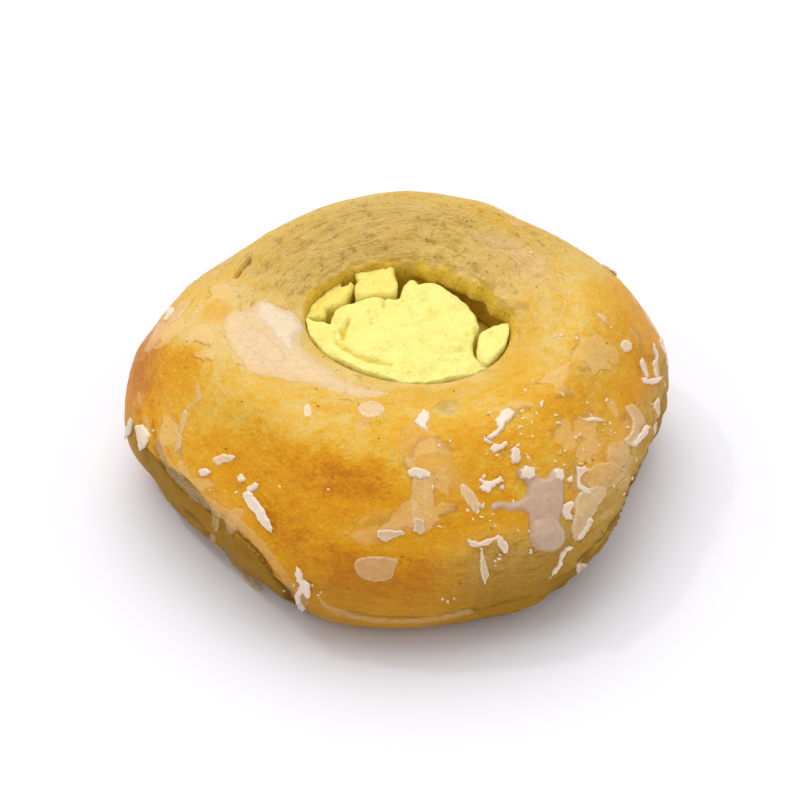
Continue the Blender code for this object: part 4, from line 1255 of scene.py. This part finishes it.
def heaped(pixels):
    """Height of the run-together drops."""
    height = np.full(len(pixels), 0.35)
    for across, down, half_length, half_width, tall in DROP_HEAPS:
        apart = np.hypot((pixels[:, 0] - across) / half_length, (pixels[:, 1] - down) / half_width)
        height = np.maximum(height, tall * np.sqrt(np.clip(1.0 - apart ** 2, 0.0, 1.0)))
    return height * MM


drop_outline = worn(evenly(DROP_OUTLINE, 1.3), 0.3, 500)
lay_icing(drops, drop_outline, lambda pixels: under_pixels(pixels, True), heaped, 0.66, 5.0, 1.3)
drop_finish = icing_finish("run-together drops", -0.2, 1.0, (0.62, 0.40, 0.23, 1.0),
                           (0.65, 0.48, 0.37, 1.0), 0.26)
for shell, name, finish in ((films, "icing_films", film_finish), (flakes, "icing_flakes", chalk_finish),
                            (drops, "icing_drops", drop_finish)):
    piece = shell.body(name, "body", finish)
    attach(piece, "root")

# Crumbs of icing that broke off the flakes, and dark specks baked into the crust. Each kind is scattered
# by Geometry Nodes over the skin, thickest where the picture has them, as one lump turned and squeezed.
CRUMBS_A_SQUARE_METRE = 260000.0
CRUMB_RADIUS = 0.50 * MM
CRUMB_FLATNESS = 0.35
SPECKS_A_SQUARE_METRE = 9000.0
SPECK_RADIUS = 0.26 * MM
SPECK_FLATNESS = 0.30


def scattered(name, field, density, size, flatness, seed, finish):
    """Lumps scattered over the skin by a Geometry Nodes modifier, turned into a mesh of their own."""
    tree = bpy.data.node_groups.new(name + "_scatter", "GeometryNodeTree")
    ports = {}
    for port, kind, start in (("Geometry", "NodeSocketGeometry", None),
                              ("Density", "NodeSocketFloat", density),
                              ("Size", "NodeSocketFloat", size), ("Seed", "NodeSocketInt", seed)):
        made = tree.interface.new_socket(port, in_out="INPUT", socket_type=kind)
        ports[port] = (made.identifier, start)
    tree.interface.new_socket("Geometry", in_out="OUTPUT", socket_type="NodeSocketGeometry")
    board = Board(tree)
    entry = tree.nodes.new("NodeGroupInput")
    skin, thick, large, start = (Wire(board, entry.outputs[port]) for port in ports)
    share = board.node("GeometryNodeInputNamedAttribute", {"data_type": "FLOAT"},
                       {"Name": field}, "Attribute")
    spread = board.node("GeometryNodeDistributePointsOnFaces", {}, {"Mesh": skin, "Density": share * thick,
                                                                    "Seed": start}, "Points")
    lie = Wire(board, spread.socket.node.outputs["Rotation"])
    turn = board.node("FunctionNodeRandomValue", {"data_type": "FLOAT_VECTOR"},
                      {0: (-0.3, -0.3, 0.0), 1: (0.3, 0.3, 6.28), "Seed": 1})
    lie = board.node("FunctionNodeRotateRotation", {"rotation_space": "LOCAL"},
                     {"Rotation": lie, "Rotate By": turn})
    squeeze = board.node("FunctionNodeRandomValue", {"data_type": "FLOAT_VECTOR"},
                         {0: (0.35, 0.25, flatness), 1: (1.0, 0.7, 1.5 * flatness), "Seed": 2})
    squeeze = board.node("ShaderNodeVectorMath", {"operation": "SCALE"}, {0: squeeze, "Scale": large})
    ball = board.node("GeometryNodeMeshIcoSphere", {}, {"Radius": 1.0, "Subdivisions": 2})
    rough = board.node("ShaderNodeTexNoise", {}, {"Scale": 1.1, "Detail": 1.0}, 1)
    rough = board.node("ShaderNodeVectorMath", {"operation": "SUBTRACT"}, {0: rough, 1: (0.5, 0.5, 0.5)})
    lump = board.node("GeometryNodeSetPosition", {}, {"Geometry": ball, "Offset": rough})
    lumps = board.node("GeometryNodeInstanceOnPoints", {}, {"Points": spread, "Instance": lump,
                                                            "Rotation": lie, "Scale": squeeze})
    real = board.node("GeometryNodeRealizeInstances", {}, {"Geometry": lumps})
    done = board.node("GeometryNodeSetMaterial", {}, {"Geometry": real, "Material": finish})
    board.node("NodeGroupOutput", {}, {"Geometry": done})
    carrier = bun.copy()
    bpy.context.scene.collection.objects.link(carrier)
    modifier = carrier.modifiers.new("scatter", "NODES")
    modifier.node_group = tree
    for port, (identifier, start) in ports.items():
        if start is not None:
            modifier[identifier] = start
    mesh = bpy.data.meshes.new_from_object(carrier.evaluated_get(bpy.context.evaluated_depsgraph_get()))
    bpy.data.objects.remove(carrier)
    mesh.name = name
    mesh.materials.clear()
    mesh.materials.append(finish)
    piece = bpy.data.objects.new(name, mesh)
    bpy.context.scene.collection.objects.link(piece)
    return piece


def speck_finish(name, shade, light, roughness):
    """A small hard bit, mottled between two colours."""
    finish, board = new_finish(name)
    mottle = board.speckle(0.5 * MM, 2.0)
    shader = board.node("ShaderNodeBsdfPrincipled", {}, {
        "Base Color": board.mix(mottle, shade, light), "Roughness": roughness + 0.2 * mottle,
        "Specular IOR Level": 0.3})
    board.node("ShaderNodeOutputMaterial", {}, {"Surface": shader})
    return finish


for name, field, density, size, flatness, seed, finish in (
        ("icing_crumbs", "crumbed", CRUMBS_A_SQUARE_METRE, CRUMB_RADIUS, CRUMB_FLATNESS, 5,
         speck_finish("icing crumbs", (0.72, 0.50, 0.30, 1.0), (0.86, 0.72, 0.58, 1.0), 0.4)),
        ("dark_specks", "specked", SPECKS_A_SQUARE_METRE, SPECK_RADIUS, SPECK_FLATNESS, 8,
         speck_finish("scorched specks", (0.06, 0.03, 0.01, 1.0), (0.30, 0.15, 0.04, 1.0), 0.5))):
    piece = scattered(name, field, density, size, flatness, seed, finish)
    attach(piece, "root")

# The floor and the light: a plain white studio table, a wide soft light above and behind, a small lamp
# whose glints lie on the wet glaze, and the even light of a white room.
FLOOR_HALF = 3.0
FLOOR_WHITE = (0.80, 0.795, 0.83)
KEY_STRENGTH = 1.62
KEY_SPREAD = math.radians(60)
KEY_TILT = (math.radians(-20), math.radians(-5), 0.0)
LAMP_FROM = (-0.50, 0.18, 0.825)
LAMP_DISTANCE = 1.2
LAMP_SIZE = 0.07
LAMP_WATTS = 1.3
ROOM_LIGHT = 0.77
ROOM_WHITE = (0.97, 0.98, 1.0)

floor_mesh = bpy.data.meshes.new("studio_floor")
floor_corners = [(-FLOOR_HALF, -FLOOR_HALF, 0), (FLOOR_HALF, -FLOOR_HALF, 0),
                 (FLOOR_HALF, FLOOR_HALF, 0), (-FLOOR_HALF, FLOOR_HALF, 0)]
floor_mesh.from_pydata(floor_corners, [], [(0, 1, 2, 3)])
floor_body = bpy.data.objects.new("studio_floor", floor_mesh)
bpy.context.scene.collection.objects.link(floor_body)
floor_finish, floor_board = new_finish("matte white table")
floor_shader = floor_board.node("ShaderNodeBsdfPrincipled", {}, {
    "Base Color": (*FLOOR_WHITE, 1.0), "Roughness": 0.9, "Specular IOR Level": 0.1})
floor_board.node("ShaderNodeOutputMaterial", {}, {"Surface": floor_shader})
floor_mesh.materials.append(floor_finish)

key = bpy.data.objects.new("key_light", bpy.data.lights.new("key_light", "SUN"))
key.data.energy = KEY_STRENGTH
key.data.angle = KEY_SPREAD
key.rotation_euler = KEY_TILT
bpy.context.scene.collection.objects.link(key)

lamp = bpy.data.objects.new("small_lamp", bpy.data.lights.new("small_lamp", "AREA"))
lamp.data.size = LAMP_SIZE
lamp.data.energy = LAMP_WATTS
toward = Vector(LAMP_FROM).normalized()
lamp.location = Vector(AIM) + LAMP_DISTANCE * toward
lamp.rotation_euler = toward.to_track_quat("Z", "Y").to_euler()
bpy.context.scene.collection.objects.link(lamp)

room = bpy.data.worlds.new("white room")
bpy.context.scene.world = room
room.use_nodes = True
room.node_tree.nodes["Background"].inputs["Color"].default_value = (*ROOM_WHITE, 1.0)
room.node_tree.nodes["Background"].inputs["Strength"].default_value = ROOM_LIGHT
bpy.context.scene.view_settings.view_transform = "Standard"
